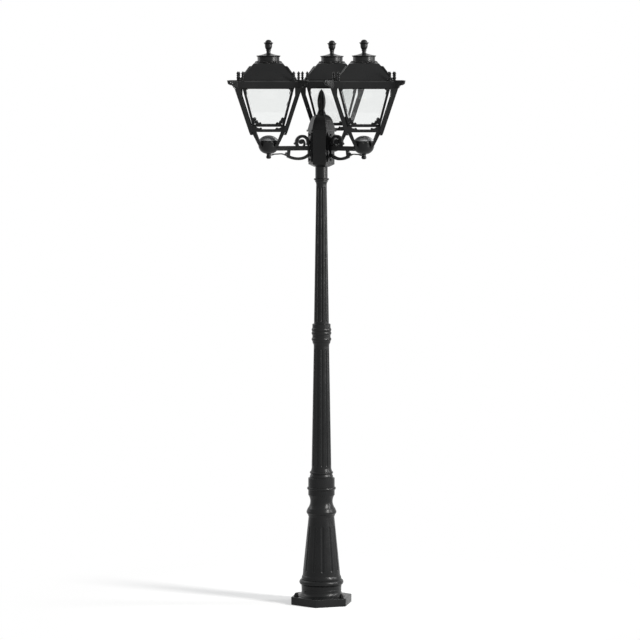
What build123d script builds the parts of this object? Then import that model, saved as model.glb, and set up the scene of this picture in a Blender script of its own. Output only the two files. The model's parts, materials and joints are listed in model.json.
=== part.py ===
"""Triple head lamp post: a fluted column in sections on a hexagonal base, with three lanterns on
scrolled arms.  Millimetres.  +Z is up, the origin is where the column's axis meets the ground, and
the lanterns' fronts face -Y."""

import os

from build123d import *

# ---------------------------------------------------------------- driving dimensions
# Lengths of the column's sections, from the ground up
FOOT_HEIGHT = 65.0
PEDESTAL_LENGTH = 306.0
COLLAR_LENGTH = 207.0
LOWER_COLUMN_LENGTH = 518.5
COUPLING_LENGTH = 96.0
UPPER_COLUMN_LENGTH = 588.0
POST_LENGTH = 73.5  # bare post between the upper column and the hub
HUB_LENGTH = 156.0
CAP_HEIGHT = 64.0  # above the hub
FLAME_HEIGHT = 107.0

# Base plate and its fixings
PLATE_RADIUS = 136.0  # across the corners of the hexagon, from the axis
PLATE_THICKNESS = 34.0
PLATE_RECESS_RADIUS = 60.0
PLATE_RECESS_DEPTH = 20.0
PLATE_EDGE_BREAK = 1.5
FOOT_RADIUS = 101.0
FOOT_NECK_RADIUS = 85.0
FOOT_NECK_LAND = 6.0  # straight part under the pedestal
LOCATING_RIM_HEIGHT = 12.5
ANCHOR_CIRCLE_RADIUS = 112.5
ANCHOR_COUNT = 3
ANCHOR_HOLE_RADIUS = 6.0
ANCHOR_ROD_RADIUS = 5.0
ANCHOR_NUT_WIDTH = 17.0  # across flats
ANCHOR_NUT_HEIGHT = 10.0
ANCHOR_DOME_RADIUS = 7.8
ANCHOR_FLANGE_RADIUS = 10.5
ANCHOR_FLANGE_THICKNESS = 2.0
CABLE_HOLE_RADIUS = 10.0
CABLE_HOLE_CIRCLE_RADIUS = 30.0
CABLE_HOLE_COUNT = 3

# Pedestal and collar
PEDESTAL_WALL = 6.0
PEDESTAL_TOP_RADIUS = 54.7
PEDESTAL_SHAFT_RADIUS = 80.0  # at the foot of the flutes' taper
SHAFT_RISE = 57.0  # from the foot's top to the start of the taper
TORUS_RADIUS = 94.0
TORUS_RISE = 27.5  # from the foot's top to the torus's middle
TORUS_HALF = 11.5
PEDESTAL_FLUTE_WIDTH = 16.0
PEDESTAL_FLUTE_FOOT_GAP = 26.0
PEDESTAL_FLUTE_TOP_GAP = 42.0
RING_RADIUS = 63.5
RING_RISE = 20.0  # from the pedestal's top to the ring's middle
RING_HALF = 8.0
COVE_RADIUS = 47.6
COVE_DROP = 25.0  # from the drum's bottom to the cove's narrowest place
COLLAR_BORE_RADIUS = 40.0
COLLAR_DRUM_RADIUS = 56.2
DRUM_DROP = 40.0  # from the collar's top to the drum's top
DRUM_LENGTH = 74.0
DRUM_BEAD_RADIUS = 61.2
DRUM_BEAD_DROP = 45.4  # from the drum's top to its bead
TOP_BEAD_RADIUS = 49.4
TOP_BEAD_DROP = 18.0
BEAD_HALF = 6.0

# Columns, coupling and post
LOWER_BOTTOM_RADIUS = 41.8
LOWER_TOP_RADIUS = 32.7
UPPER_BOTTOM_RADIUS = 31.7
UPPER_TOP_RADIUS = 22.4
COLUMN_WALL = 5.0
SPIGOT_LENGTH = 25.0  # how far each section reaches into the next
FLUTE_COUNT = 12
FLUTE_PHASE = -86.0  # degrees: direction of the flute that faces the front
FLUTE_END_GAP = 14.0  # plain length between a flute's end and the end of its section
LOWER_FLUTE_WIDTH = 12.0
UPPER_FLUTE_WIDTH = 9.0
FLUTE_DEPTH = 3.0
TAPER_CLEARANCE = 1.5  # round the collar's spigot, in the lower column's taper
PLUG_CLEARANCE = 0.6  # round the plugs in the upper column's taper
COUPLING_BEAD_RADIUS = 41.9
COUPLING_WAIST_RADIUS = 38.6
COUPLING_BEAD_HALF = 7.5
POST_RADIUS = 26.0
POST_BEAD_RADIUS = 32.0
POST_BEAD_RISE = 21.0
POST_BORE_RADIUS = 13.0
TIE_ROD_RADIUS = 5.0
TIE_NUT_WIDTH = 17.0
TIE_NUT_HEIGHT = 8.0
TIE_ROD_PROUD = 2.0  # rod beyond each nut

# Hub and cap
HUB_RADIUS = 56.0  # across the corners of the hexagon, from the axis
HUB_CAVITY_RADIUS = 40.0
HUB_BEVEL = 11.0
HUB_BEVEL_MARGIN = 6.0  # hub's underside beyond the post
HUB_SOCKET_DEPTH = 36.0
HUB_FLOOR = 10.0
HUB_DRILL_START = 12.0  # inside the hub's face
HUB_DRILL_LENGTH = 16.0
HUB_CABLE_RADIUS = 3.5
HUB_CABLE_CIRCLE_RADIUS = 13.0
CAP_RADIUS = 62.0
CAP_LIP_RADIUS = 64.0
CAP_LIP_HEIGHT = 8.0
CAP_OVERLAP = 8.0  # how far the cap's skirt hangs over the hub
CAP_CAVITY_DROP = 16.0  # from the cap's top to its hollow
CAP_CAVITY_RADIUS = 15.0  # at the hollow's top
CAP_FLAT_RADIUS = 23.0
FLAME_RADIUS = 17.4
FLAME_BASE_RADIUS = 18.5
FLAME_NECK_RADIUS = 13.2
FLAME_NECK_RISE = 24.0
FLAME_TIP_RADIUS = 5.2
TERMINAL_WIDTH = 16.0
TERMINAL_LENGTH = 44.0
TERMINAL_HEIGHT = 18.0
TERMINAL_POLE_RADIUS = 4.0
TERMINAL_POLE_DEPTH = 3.0
TERMINAL_POLE_PITCH = 15.0

# Arms
ARM_ANGLES = {"left": 199.0, "right": 319.0, "rear": 79.0}  # degrees, counter-clockwise from +X
ARM_REACH = 234.0
ARM_DROP = 67.0  # from the hub's top to the bar's top
ARM_BAR_HEIGHT = 19.4
ARM_BAR_WIDTH = 15.0
ARM_CABLE_RADIUS = 4.5
ARM_FLANGE_WIDTH = 40.0
ARM_FLANGE_DROP = 68.0  # below the bar's top
ARM_FLANGE_RISE = 56.0  # above the bar's top
ARM_FLANGE_THICKNESS = 5.0
ARM_SCREW_INSET = 10.0
ARM_SCREW_RADIUS = 3.0
ARM_SCREW_HEAD_RADIUS = 5.6
ARM_SCREW_HEAD_HEIGHT = 4.0
ARM_SCREW_REACH = 7.0  # into the hub
ARM_SCREW_SOCKET = 4.0  # across flats
ARM_SCREW_SOCKET_DEPTH = 2.5
ARM_SCROLL_RADIUS = 25.5
ARM_SCROLL_OUT = 32.0  # from the flange's face
ARM_SCROLL_RISE = 14.8  # above the bar's top
ARM_SCROLL_BAND = 12.0
ARM_SCROLL_INSET = 1.0  # scroll's sides inside the bar's sides
ARM_HOOK_BAND = 7.5
ARM_SCROLL_BALL = 9.6
ARM_LOWER_BAND = 12.0
ARM_LOWER_INSET = 2.0
ARM_LOWER_DEPTH = 34.5  # of the lower scroll's middle line, under the bar
ARM_STRUT_OUT = 94.0  # from the flange's face
ARM_BUD_RADIUS = 5.0
ARM_BAR_END = 20.0  # the bar's end short of the lantern's axis, inside the bowl
ARM_EYE_RADIUS = 8.5
ARM_EYE_THICKNESS = 5.0

# Lantern: heights of its parts, from the bowl up
BOWL_DROP = 35.0  # from the bar's top down to the bowl's bottom
BOWL_HEIGHT = 58.0
BOWL_RIM_HEIGHT = 12.0
LEG_FOOT_RISE = 24.0  # above the bowl's bottom
LEG_KNEE_RISE = 42.0
LEG_RISE = 37.0  # from the bowl's rim to the cage
CAGE_HEIGHT = 183.0
FRAME_RISE = 21.5  # from the cage's underside to the glazed frame's
EAVE_HEIGHT = 31.0
ROOF_HEIGHT = 70.0
SHOULDER_HEIGHT = 8.0
NECK_HEIGHT = 19.5
FINIAL_CONE_HEIGHT = 16.0
FINIAL_URN_HEIGHT = 56.0

# Lantern: half widths and sections
BOWL_RADIUS = 43.0
BOWL_RIM_RADIUS = 44.0
BOWL_BOSS_RADIUS = 9.0
BOWL_WALL = 4.0
BOWL_FLOOR = 9.0
LEG_FOOT_HALF = 4.25
LEG_FOOT_OUT = 24.0
LEG_KNEE_WIDTH = 13.0
LEG_WIDTH = 18.0
LEG_TOP_HALF = 70.0
LEG_KNEE_HALF = 44.0
POST_WIDTH = 18.0
POST_TOP_HALF = 139.4
POST_BOTTOM_HALF = 79.9
POST_GUSSET = 10.0
POST_GUSSET_HEIGHT = 30.0
PENDANT_LENGTH = 12.5
PENDANT_WIDTH = 9.5
PENDANT_TIP_WIDTH = 10.5
PENDANT_TIP_HALF = 75.0  # outside of the pendants' tips
PENDANT_TOP_HALF = 80.0
CAGE_RAIL_HEIGHT = 10.0
CAGE_RAIL_HALF = 78.0
CAGE_RAIL_INNER_HALF = 50.0
FRAME_BAR = 9.5
FRAME_TOP_HALF = 107.0
FRAME_BOTTOM_HALF = 65.5
FRAME_RAIL_HEIGHT = 10.5
FRAME_RAIL_INNER_HALF = 51.0
FRAME_FLANGE_HALF = 113.0
FRAME_FLANGE_THICKNESS = 4.0
FRAME_GUSSET = 12.0
SCROLL_THICKNESS = 4.0
CAGE_SCROLL_THICKNESS = 6.0
CAGE_SCROLL_INSET = 1.0  # scrolls' faces behind the rail's
# Ornaments on a rail, each (distance from the rail's middle, rise over the rail, radius)
CAGE_SCROLLS = ((62, 6, 10), (52, 1, 7), (43, 0, 5), (34, 1, 5.5))
FRAME_SCROLLS = ((60, 20, 8), (51, 9, 6.5), (45, 3, 4), (36, 2, 5))
PANE_THICKNESS = 3.0
PANE_CLEARANCE = 0.3
EAVE_HALF = 132.0
EAVE_WALL = 8.0
EAVE_LEDGE_HALF = 109.5
EAVE_LEDGE_THICKNESS = 4.0
EAVE_TOP_THICKNESS = 6.0
EAVE_SEAT_HALF = 114.5
EAVE_SLOPE_HALF = 121.0
EAR_REACH = 33.0  # beyond the eave's sides
EAR_THICKNESS = 9.0
EAR_VOLUTE_RADIUS = 8.0
EAR_VOLUTE_WIDTH = 14.0
SPIKE_HEIGHT = 39.0
SPIKE_RADIUS = 5.2
SPIKE_EDGE_INSET = 6.2
SPIKE_CORNER_INSET = 26.6
SPIKE_PAD_MARGIN = 0.5
ROOF_RIM_HALF = 119.5
ROOF_RIM_INNER_HALF = 109.0
ROOF_RIM_THICKNESS = 4.0
ROOF_HALF = 116.0
ROOF_TOP_HALF = 61.6
ROOF_WALL = 2.5
ROOF_FIN_REACH = 9.0
ROOF_FIN_THICKNESS = 4.0
ROOF_FIN_FOOT_REACH = 2.0
ROOF_FIN_DROP = 10.0  # from the roof's top to the fins' tops
NECK_RADIUS = 45.9
NECK_WALL = 3.0
NECK_RING_RADIUS = 50.5
CAP_DISC_RADIUS = 50.0
FINIAL_PLUG_DEPTH = 4.0
FINIAL_STEM_RADIUS = 8.4
URN_RADIUS = 15.6
URN_RIM_RADIUS = 19.6

# Lamp, its holder and the roof's screw
LAMP_RADIUS = 37.5
LAMP_HEIGHT = 25.0
LAMP_PIN_RADIUS = 2.4
LAMP_PIN_CIRCLE_RADIUS = 26.5
LAMP_PIN_LENGTH = 4.0
LAMP_PIN_CLEARANCE = 0.5
LAMP_SLOT_MARGIN = 8.0  # degrees of slot beyond the pin's middle at each end
LAMP_SLOT_DEPTH = 6.0
LAMP_TWIST = 15.0  # degrees from locked to free
LAMP_GAP = 0.3
HOLDER_HEIGHT = 12.0
HOLDER_RISE = 17.0  # from the eave's top to the holder's top
BRACKET_THICKNESS = 3.0
BRACKET_WIDTH = 22.0
BRACKET_LEG_HALF = 92.0
BRACKET_FOOT_HALF = 113.0
ROOF_SCREW_X = 93.0  # from the lantern's axis
ROOF_SCREW_Y = -118.0
ROOF_SCREW_RADIUS = 3.0
ROOF_SCREW_REACH = 20.0  # above the eave's underside
KNOB_RADIUS = 9.0
KNOB_HEIGHT = 6.5
BOSS_RADIUS = 5.3
BOSS_LENGTH = 21.0
BOSS_CLEARANCE = 0.6
BOSS_BORE_SPARE = 2.0  # bore beyond the screw's end
RUNNING_CLEARANCE = 0.08
FIT_CLEARANCE = 0.2
DROP_STUD_RADIUS = 5.0
DROP_BALL_RADIUS = 10.6
DROP_LENGTH = 13.0
COVER_RISE = 22.0
COVER_WALL = 2.0
COVER_FLANGE = 5.0

# ---------------------------------------------------------------- heights above the ground
FOOT_TOP = FOOT_HEIGHT
PEDESTAL_TOP = FOOT_TOP + PEDESTAL_LENGTH
COLLAR_TOP = PEDESTAL_TOP + COLLAR_LENGTH
LOWER_COLUMN_TOP = COLLAR_TOP + LOWER_COLUMN_LENGTH
COUPLING_TOP = LOWER_COLUMN_TOP + COUPLING_LENGTH
UPPER_COLUMN_TOP = COUPLING_TOP + UPPER_COLUMN_LENGTH
HUB_BOTTOM = UPPER_COLUMN_TOP + POST_LENGTH
HUB_TOP = HUB_BOTTOM + HUB_LENGTH
CAP_TOP = HUB_TOP + CAP_HEIGHT
FLAME_TIP = CAP_TOP + FLAME_HEIGHT
HUB_CAVITY_FLOOR = HUB_BOTTOM + HUB_SOCKET_DEPTH + HUB_FLOOR
ARM_BAR_TOP = HUB_TOP - ARM_DROP
ARM_BAR_MIDDLE = ARM_BAR_TOP - ARM_BAR_HEIGHT / 2
ARM_FLANGE_BOTTOM = ARM_BAR_TOP - ARM_FLANGE_DROP
ARM_FLANGE_TOP = ARM_BAR_TOP + ARM_FLANGE_RISE
ARM_SCREW_HEIGHTS = (ARM_FLANGE_BOTTOM + ARM_SCREW_INSET, ARM_FLANGE_TOP - ARM_SCREW_INSET)
BOWL_BOTTOM = ARM_BAR_TOP - BOWL_DROP
BOWL_RIM = BOWL_BOTTOM + BOWL_HEIGHT
LEG_FOOT = BOWL_BOTTOM + LEG_FOOT_RISE
LEG_KNEE = BOWL_BOTTOM + LEG_KNEE_RISE
ARM_EYE_BOTTOM = BOWL_BOTTOM - ARM_EYE_THICKNESS
DROP_TIP = ARM_EYE_BOTTOM - DROP_LENGTH
CAGE_RAIL_BOTTOM = BOWL_RIM + LEG_RISE
CAGE_RAIL_TOP = CAGE_RAIL_BOTTOM + CAGE_RAIL_HEIGHT
FRAME_RAIL_BOTTOM = CAGE_RAIL_BOTTOM + FRAME_RISE
FRAME_RAIL_TOP = FRAME_RAIL_BOTTOM + FRAME_RAIL_HEIGHT
EAVE_BOTTOM = CAGE_RAIL_BOTTOM + CAGE_HEIGHT
EAVE_LEDGE_TOP = EAVE_BOTTOM + EAVE_LEDGE_THICKNESS
EAVE_TOP = EAVE_BOTTOM + EAVE_HEIGHT
EAVE_PLATE_BOTTOM = EAVE_TOP - EAVE_TOP_THICKNESS
ROOF_RIM_TOP = EAVE_TOP + ROOF_RIM_THICKNESS
ROOF_TOP = EAVE_TOP + ROOF_HEIGHT
ROOF_FIN_TOP = ROOF_TOP - ROOF_FIN_DROP
SHOULDER_TOP = ROOF_TOP + SHOULDER_HEIGHT
NECK_TOP = SHOULDER_TOP + NECK_HEIGHT
CAP_DISC_TOP = NECK_TOP + FINIAL_CONE_HEIGHT
FINIAL_TIP = CAP_DISC_TOP + FINIAL_URN_HEIGHT
HOLDER_TOP = EAVE_TOP + HOLDER_RISE
HOLDER_BOTTOM = HOLDER_TOP - HOLDER_HEIGHT
BOSS_BOTTOM = EAVE_TOP - BOSS_LENGTH

HUB_APOTHEM = HUB_RADIUS * 3**0.5 / 2
CORNERS = [(1, 1), (-1, 1), (-1, -1), (1, -1)]
SPIKE_OUTER = EAVE_HALF - SPIKE_EDGE_INSET
SPIKE_INNER = EAVE_HALF - SPIKE_CORNER_INSET
SPIKE_PLACES = ((SPIKE_OUTER, SPIKE_INNER), (SPIKE_INNER, SPIKE_OUTER))
SPIKE_PAD = 2 * (SPIKE_RADIUS + SPIKE_PAD_MARGIN)

os.makedirs("parts", exist_ok=True)


# ---------------------------------------------------------------- shared shapes
def save(part, name):
    """Label a finished piece and write it under its own name."""
    part.label = name
    export_step(part, f"parts/{name}.step")


def level(height, centre=(0, 0)):
    """The horizontal plane at a height, with its origin on a lantern's or the column's axis."""
    return Plane((centre[0], centre[1], height))


def turned(outline, centre=(0, 0)):
    """A turned solid.  An outline step is (radius, height), or (middle, end) for an arc."""
    with BuildPart() as solid:
        with BuildSketch(Plane((centre[0], centre[1], 0), x_dir=(1, 0, 0), z_dir=(0, -1, 0))):
            with BuildLine():
                here = outline[0]
                for step in outline[1:]:
                    if isinstance(step[0], tuple):
                        ThreePointArc(here, step[0], step[1])
                        here = step[1]
                    else:
                        Line(here, step)
                        here = step
                if here != outline[0]:
                    Line(here, outline[0])
            make_face()
        revolve(axis=Axis((centre[0], centre[1], 0), (0, 0, 1)))
    return solid.part


def tapered(sections, centre=(0, 0)):
    """A solid through square sections, each (height, half width) or (height, half width, dx, dy)."""
    with BuildPart() as solid:
        for height, half, *shift in sections:
            with BuildSketch(level(height, centre)):
                with Locations(tuple(shift) if shift else (0, 0)):
                    Rectangle(2 * half, 2 * half)
        loft(ruled=True)
    return solid.part


def square_ring(outer, inner, bottom, top, centre):
    """A flat square ring round a lantern's axis."""
    with BuildPart() as ring:
        with BuildSketch(level(bottom, centre)):
            Rectangle(2 * outer, 2 * outer)
            Rectangle(2 * inner, 2 * inner, mode=Mode.SUBTRACT)
        extrude(amount=top - bottom)
    return ring.part


def capsule(start, end, radius):
    """A round-ended rod between two points."""
    run = Vector(*end) - Vector(*start)
    with BuildPart(Plane(start, z_dir=run)) as rod:
        Cylinder(radius, run.length, align=(Align.CENTER, Align.CENTER, Align.MIN))
        with Locations((0, 0, 0), (0, 0, run.length)):
            Sphere(radius)
    return rod.part


def flute(bottom, bottom_radius, top, top_radius, width):
    """One flute's cutter, along a shaft that tapers from one radius to the other."""
    radius = (width**2 / 4 + FLUTE_DEPTH**2) / (2 * FLUTE_DEPTH)
    out = radius - FLUTE_DEPTH
    ray = Vector(1, 0, 0).rotate(Axis.Z, FLUTE_PHASE)
    start = ray * (bottom_radius + out) + Vector(0, 0, bottom)
    end = ray * (top_radius + out) + Vector(0, 0, top)
    return capsule(tuple(start), tuple(end), radius)


def nut(width, height, hole, bottom):
    """A plain hexagon nut on the column's axis."""
    with BuildPart() as body:
        with BuildSketch(level(bottom)):
            RegularPolygon(width / 2, 6, major_radius=False)
            Circle(hole, mode=Mode.SUBTRACT)
        extrude(amount=height)
    return body.part


# ---------------------------------------------------------------- base
ARM_LIST = list(ARM_ANGLES.values())
PLATE_TURN = ARM_ANGLES["rear"]  # the plate's corners point along the arms

foot = turned(
    [
        (0, PLATE_THICKNESS - 1),
        (FOOT_RADIUS, PLATE_THICKNESS - 1),
        (FOOT_RADIUS, PLATE_THICKNESS + 2),
        ((FOOT_NECK_RADIUS + 4, PLATE_THICKNESS + 9), (FOOT_NECK_RADIUS, FOOT_TOP - FOOT_NECK_LAND)),
        (FOOT_NECK_RADIUS, FOOT_TOP),
        (0, FOOT_TOP),
    ]
)
PEDESTAL_INNER_FOOT = FOOT_NECK_RADIUS - PEDESTAL_WALL

with BuildPart() as base_plate:
    with BuildSketch():
        RegularPolygon(PLATE_RADIUS, 6, rotation=PLATE_TURN)
    extrude(amount=PLATE_THICKNESS)
    chamfer(base_plate.faces().sort_by(Axis.Z)[-1].edges(), PLATE_EDGE_BREAK)
    add(foot)
    with BuildSketch(level(FOOT_TOP)):
        Circle(PEDESTAL_INNER_FOOT - FIT_CLEARANCE)
    extrude(amount=LOCATING_RIM_HEIGHT)
    with BuildSketch(level(PLATE_THICKNESS)):
        Circle(PLATE_RECESS_RADIUS)
    extrude(amount=FOOT_TOP, mode=Mode.SUBTRACT)
    with BuildSketch():
        Circle(PLATE_RECESS_RADIUS)
    extrude(amount=PLATE_RECESS_DEPTH, mode=Mode.SUBTRACT)
    with BuildSketch():
        Circle(TIE_ROD_RADIUS + FIT_CLEARANCE)
        with PolarLocations(CABLE_HOLE_CIRCLE_RADIUS, CABLE_HOLE_COUNT):
            Circle(CABLE_HOLE_RADIUS)
        with PolarLocations(ANCHOR_CIRCLE_RADIUS, ANCHOR_COUNT, start_angle=PLATE_TURN):
            Circle(ANCHOR_HOLE_RADIUS)
    extrude(amount=PLATE_THICKNESS, mode=Mode.SUBTRACT)
save(base_plate.part, "base_plate")

with BuildPart() as anchor_nuts:
    with BuildSketch(level(PLATE_THICKNESS)):
        with PolarLocations(ANCHOR_CIRCLE_RADIUS, ANCHOR_COUNT, start_angle=PLATE_TURN):
            Circle(ANCHOR_FLANGE_RADIUS)
    extrude(amount=ANCHOR_FLANGE_THICKNESS)
    with BuildSketch(level(PLATE_THICKNESS)):
        with PolarLocations(ANCHOR_CIRCLE_RADIUS, ANCHOR_COUNT, start_angle=PLATE_TURN):
            RegularPolygon(ANCHOR_NUT_WIDTH / 2, 6, major_radius=False)
    extrude(amount=ANCHOR_NUT_HEIGHT)
    with PolarLocations(ANCHOR_CIRCLE_RADIUS, ANCHOR_COUNT, start_angle=PLATE_TURN):
        with Locations((0, 0, PLATE_THICKNESS + ANCHOR_NUT_HEIGHT)):
            Sphere(ANCHOR_DOME_RADIUS)
    with BuildSketch(level(PLATE_THICKNESS)):
        with PolarLocations(ANCHOR_CIRCLE_RADIUS, ANCHOR_COUNT, start_angle=PLATE_TURN):
            Circle(ANCHOR_ROD_RADIUS)
    extrude(amount=ANCHOR_NUT_HEIGHT, mode=Mode.SUBTRACT)
save(anchor_nuts.part, "anchor_nuts")

# ---------------------------------------------------------------- pedestal
TORUS_HEIGHT = FOOT_TOP + TORUS_RISE
TORUS_TOP = TORUS_HEIGHT + TORUS_HALF
SHAFT_BOTTOM = FOOT_TOP + SHAFT_RISE
SHAFT_SLOPE = (PEDESTAL_SHAFT_RADIUS - PEDESTAL_TOP_RADIUS) / (PEDESTAL_TOP - SHAFT_BOTTOM)
pedestal_outside = turned(
    [
        (0, FOOT_TOP),
        (FOOT_NECK_RADIUS, FOOT_TOP),
        (FOOT_NECK_RADIUS + 1, TORUS_HEIGHT - TORUS_HALF),
        ((TORUS_RADIUS, TORUS_HEIGHT), (FOOT_NECK_RADIUS + 2, TORUS_TOP)),
        (PEDESTAL_SHAFT_RADIUS + 4, TORUS_TOP),
        (
            (PEDESTAL_SHAFT_RADIUS + 4.5, TORUS_TOP + (SHAFT_BOTTOM - TORUS_TOP) / 3),
            (PEDESTAL_SHAFT_RADIUS, SHAFT_BOTTOM),
        ),
        (PEDESTAL_TOP_RADIUS, PEDESTAL_TOP),
        (0, PEDESTAL_TOP),
    ]
)
pedestal_inside = turned(
    [
        (0, FOOT_TOP),
        (PEDESTAL_INNER_FOOT, FOOT_TOP),
        (PEDESTAL_INNER_FOOT, TORUS_TOP),
        (PEDESTAL_SHAFT_RADIUS - PEDESTAL_WALL, SHAFT_BOTTOM),
        (PEDESTAL_TOP_RADIUS - PEDESTAL_WALL, PEDESTAL_TOP),
        (0, PEDESTAL_TOP),
    ]
)
pedestal_flute = flute(
    SHAFT_BOTTOM + PEDESTAL_FLUTE_FOOT_GAP,
    PEDESTAL_SHAFT_RADIUS - SHAFT_SLOPE * PEDESTAL_FLUTE_FOOT_GAP,
    PEDESTAL_TOP - PEDESTAL_FLUTE_TOP_GAP,
    PEDESTAL_TOP_RADIUS + SHAFT_SLOPE * PEDESTAL_FLUTE_TOP_GAP,
    PEDESTAL_FLUTE_WIDTH,
)
with BuildPart() as pedestal:
    add(pedestal_outside)
    add(pedestal_inside, mode=Mode.SUBTRACT)
    with PolarLocations(0, FLUTE_COUNT):
        add(pedestal_flute, mode=Mode.SUBTRACT)
save(pedestal.part, "pedestal")

# ---------------------------------------------------------------- collar
RING_HEIGHT = PEDESTAL_TOP + RING_RISE
DRUM_TOP = COLLAR_TOP - DRUM_DROP
DRUM_BOTTOM = DRUM_TOP - DRUM_LENGTH
COVE_HEIGHT = DRUM_BOTTOM - COVE_DROP
DRUM_BEAD_HEIGHT = DRUM_TOP - DRUM_BEAD_DROP
TOP_BEAD_HEIGHT = COLLAR_TOP - TOP_BEAD_DROP
COLLAR_SPIGOT_RADIUS = PEDESTAL_TOP_RADIUS - PEDESTAL_WALL - FIT_CLEARANCE
LOWER_SPIGOT_RADIUS = LOWER_BOTTOM_RADIUS - COLUMN_WALL - TAPER_CLEARANCE
LOWER_SPIGOT_BORE = LOWER_SPIGOT_RADIUS - COLUMN_WALL
with BuildPart() as collar:
    add(
        turned(
            [
                (COLLAR_BORE_RADIUS, PEDESTAL_TOP - SPIGOT_LENGTH),
                (COLLAR_SPIGOT_RADIUS, PEDESTAL_TOP - SPIGOT_LENGTH),
                (COLLAR_SPIGOT_RADIUS, PEDESTAL_TOP),
                (PEDESTAL_TOP_RADIUS, PEDESTAL_TOP),
                (RING_RADIUS - 4.5, RING_HEIGHT - RING_HALF),
                ((RING_RADIUS, RING_HEIGHT), (RING_RADIUS - 2, RING_HEIGHT + RING_HALF)),
                (RING_RADIUS - 5, RING_HEIGHT + 2 * RING_HALF),
                ((COVE_RADIUS, COVE_HEIGHT), (COLLAR_DRUM_RADIUS - 1, DRUM_BOTTOM)),
                (COLLAR_DRUM_RADIUS, DRUM_BOTTOM),
                (COLLAR_DRUM_RADIUS, DRUM_BEAD_HEIGHT - BEAD_HALF),
                (
                    (DRUM_BEAD_RADIUS, DRUM_BEAD_HEIGHT),
                    (COLLAR_DRUM_RADIUS, DRUM_BEAD_HEIGHT + BEAD_HALF),
                ),
                (COLLAR_DRUM_RADIUS, DRUM_TOP - 2),
                (COLLAR_DRUM_RADIUS - 2, DRUM_TOP),
                (LOWER_BOTTOM_RADIUS + 7.5, DRUM_TOP),
                (LOWER_BOTTOM_RADIUS + 7.5, DRUM_TOP + 7),
                (LOWER_BOTTOM_RADIUS + 4, TOP_BEAD_HEIGHT - BEAD_HALF),
                (
                    (TOP_BEAD_RADIUS, TOP_BEAD_HEIGHT),
                    (LOWER_BOTTOM_RADIUS + 3, TOP_BEAD_HEIGHT + BEAD_HALF),
                ),
                (LOWER_BOTTOM_RADIUS + 1, COLLAR_TOP - 4),
                (LOWER_BOTTOM_RADIUS, COLLAR_TOP),
                (LOWER_SPIGOT_RADIUS, COLLAR_TOP),
                (LOWER_SPIGOT_RADIUS, COLLAR_TOP + SPIGOT_LENGTH),
                (LOWER_SPIGOT_BORE, COLLAR_TOP + SPIGOT_LENGTH),
                (LOWER_SPIGOT_BORE, DRUM_TOP + DRUM_DROP / 2),
                (COLLAR_BORE_RADIUS, DRUM_TOP + DRUM_DROP / 4),
            ]
        )
    )
save(collar.part, "collar")


# ---------------------------------------------------------------- fluted columns
def fluted_column(bottom, bottom_radius, top, top_radius, flute_width):
    """A tapering tube with round-ended flutes."""
    slope = (bottom_radius - top_radius) / (top - bottom)
    cutter = flute(
        bottom + FLUTE_END_GAP,
        bottom_radius - slope * FLUTE_END_GAP,
        top - FLUTE_END_GAP,
        top_radius + slope * FLUTE_END_GAP,
        flute_width,
    )
    tube = turned(
        [
            (bottom_radius - COLUMN_WALL, bottom),
            (bottom_radius, bottom),
            (top_radius, top),
            (top_radius - COLUMN_WALL, top),
        ]
    )
    with BuildPart() as column:
        add(tube)
        with PolarLocations(0, FLUTE_COUNT):
            add(cutter, mode=Mode.SUBTRACT)
    return column.part


save(
    fluted_column(
        COLLAR_TOP, LOWER_BOTTOM_RADIUS, LOWER_COLUMN_TOP, LOWER_TOP_RADIUS, LOWER_FLUTE_WIDTH
    ),
    "lower_column",
)
save(
    fluted_column(
        COUPLING_TOP, UPPER_BOTTOM_RADIUS, UPPER_COLUMN_TOP, UPPER_TOP_RADIUS, UPPER_FLUTE_WIDTH
    ),
    "upper_column",
)

LOWER_PLUG = LOWER_TOP_RADIUS - COLUMN_WALL - FIT_CLEARANCE
UPPER_PLUG = UPPER_BOTTOM_RADIUS - COLUMN_WALL - PLUG_CLEARANCE
COUPLING_BORE = UPPER_PLUG - COLUMN_WALL
FIRST_BEAD = LOWER_COLUMN_TOP + 4 * COUPLING_BEAD_HALF
THIRD_BEAD = COUPLING_TOP - 3.4 * COUPLING_BEAD_HALF
SECOND_BEAD = THIRD_BEAD - 2 * COUPLING_BEAD_HALF
with BuildPart() as middle_coupling:
    add(
        turned(
            [
                (COUPLING_BORE, LOWER_COLUMN_TOP - SPIGOT_LENGTH),
                (LOWER_PLUG, LOWER_COLUMN_TOP - SPIGOT_LENGTH),
                (LOWER_PLUG, LOWER_COLUMN_TOP),
                (LOWER_TOP_RADIUS, LOWER_COLUMN_TOP),
                (LOWER_TOP_RADIUS + 0.8, LOWER_COLUMN_TOP + COUPLING_BEAD_HALF),
                (COUPLING_WAIST_RADIUS - 1, LOWER_COLUMN_TOP + 2 * COUPLING_BEAD_HALF),
                (COUPLING_WAIST_RADIUS, FIRST_BEAD - COUPLING_BEAD_HALF),
                (
                    (COUPLING_BEAD_RADIUS, FIRST_BEAD),
                    (COUPLING_WAIST_RADIUS, FIRST_BEAD + COUPLING_BEAD_HALF),
                ),
                (COUPLING_WAIST_RADIUS, SECOND_BEAD - COUPLING_BEAD_HALF),
                (
                    (COUPLING_BEAD_RADIUS, SECOND_BEAD),
                    (COUPLING_WAIST_RADIUS + 0.6, SECOND_BEAD + COUPLING_BEAD_HALF),
                ),
                (
                    (COUPLING_BEAD_RADIUS, THIRD_BEAD),
                    (COUPLING_WAIST_RADIUS, THIRD_BEAD + COUPLING_BEAD_HALF),
                ),
                (COUPLING_WAIST_RADIUS, COUPLING_TOP - 3),
                (COUPLING_WAIST_RADIUS - 1.5, COUPLING_TOP - 1),
                (UPPER_BOTTOM_RADIUS, COUPLING_TOP),
                (UPPER_PLUG, COUPLING_TOP),
                (UPPER_PLUG, COUPLING_TOP + SPIGOT_LENGTH),
                (COUPLING_BORE, COUPLING_TOP + SPIGOT_LENGTH),
            ]
        )
    )
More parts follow.
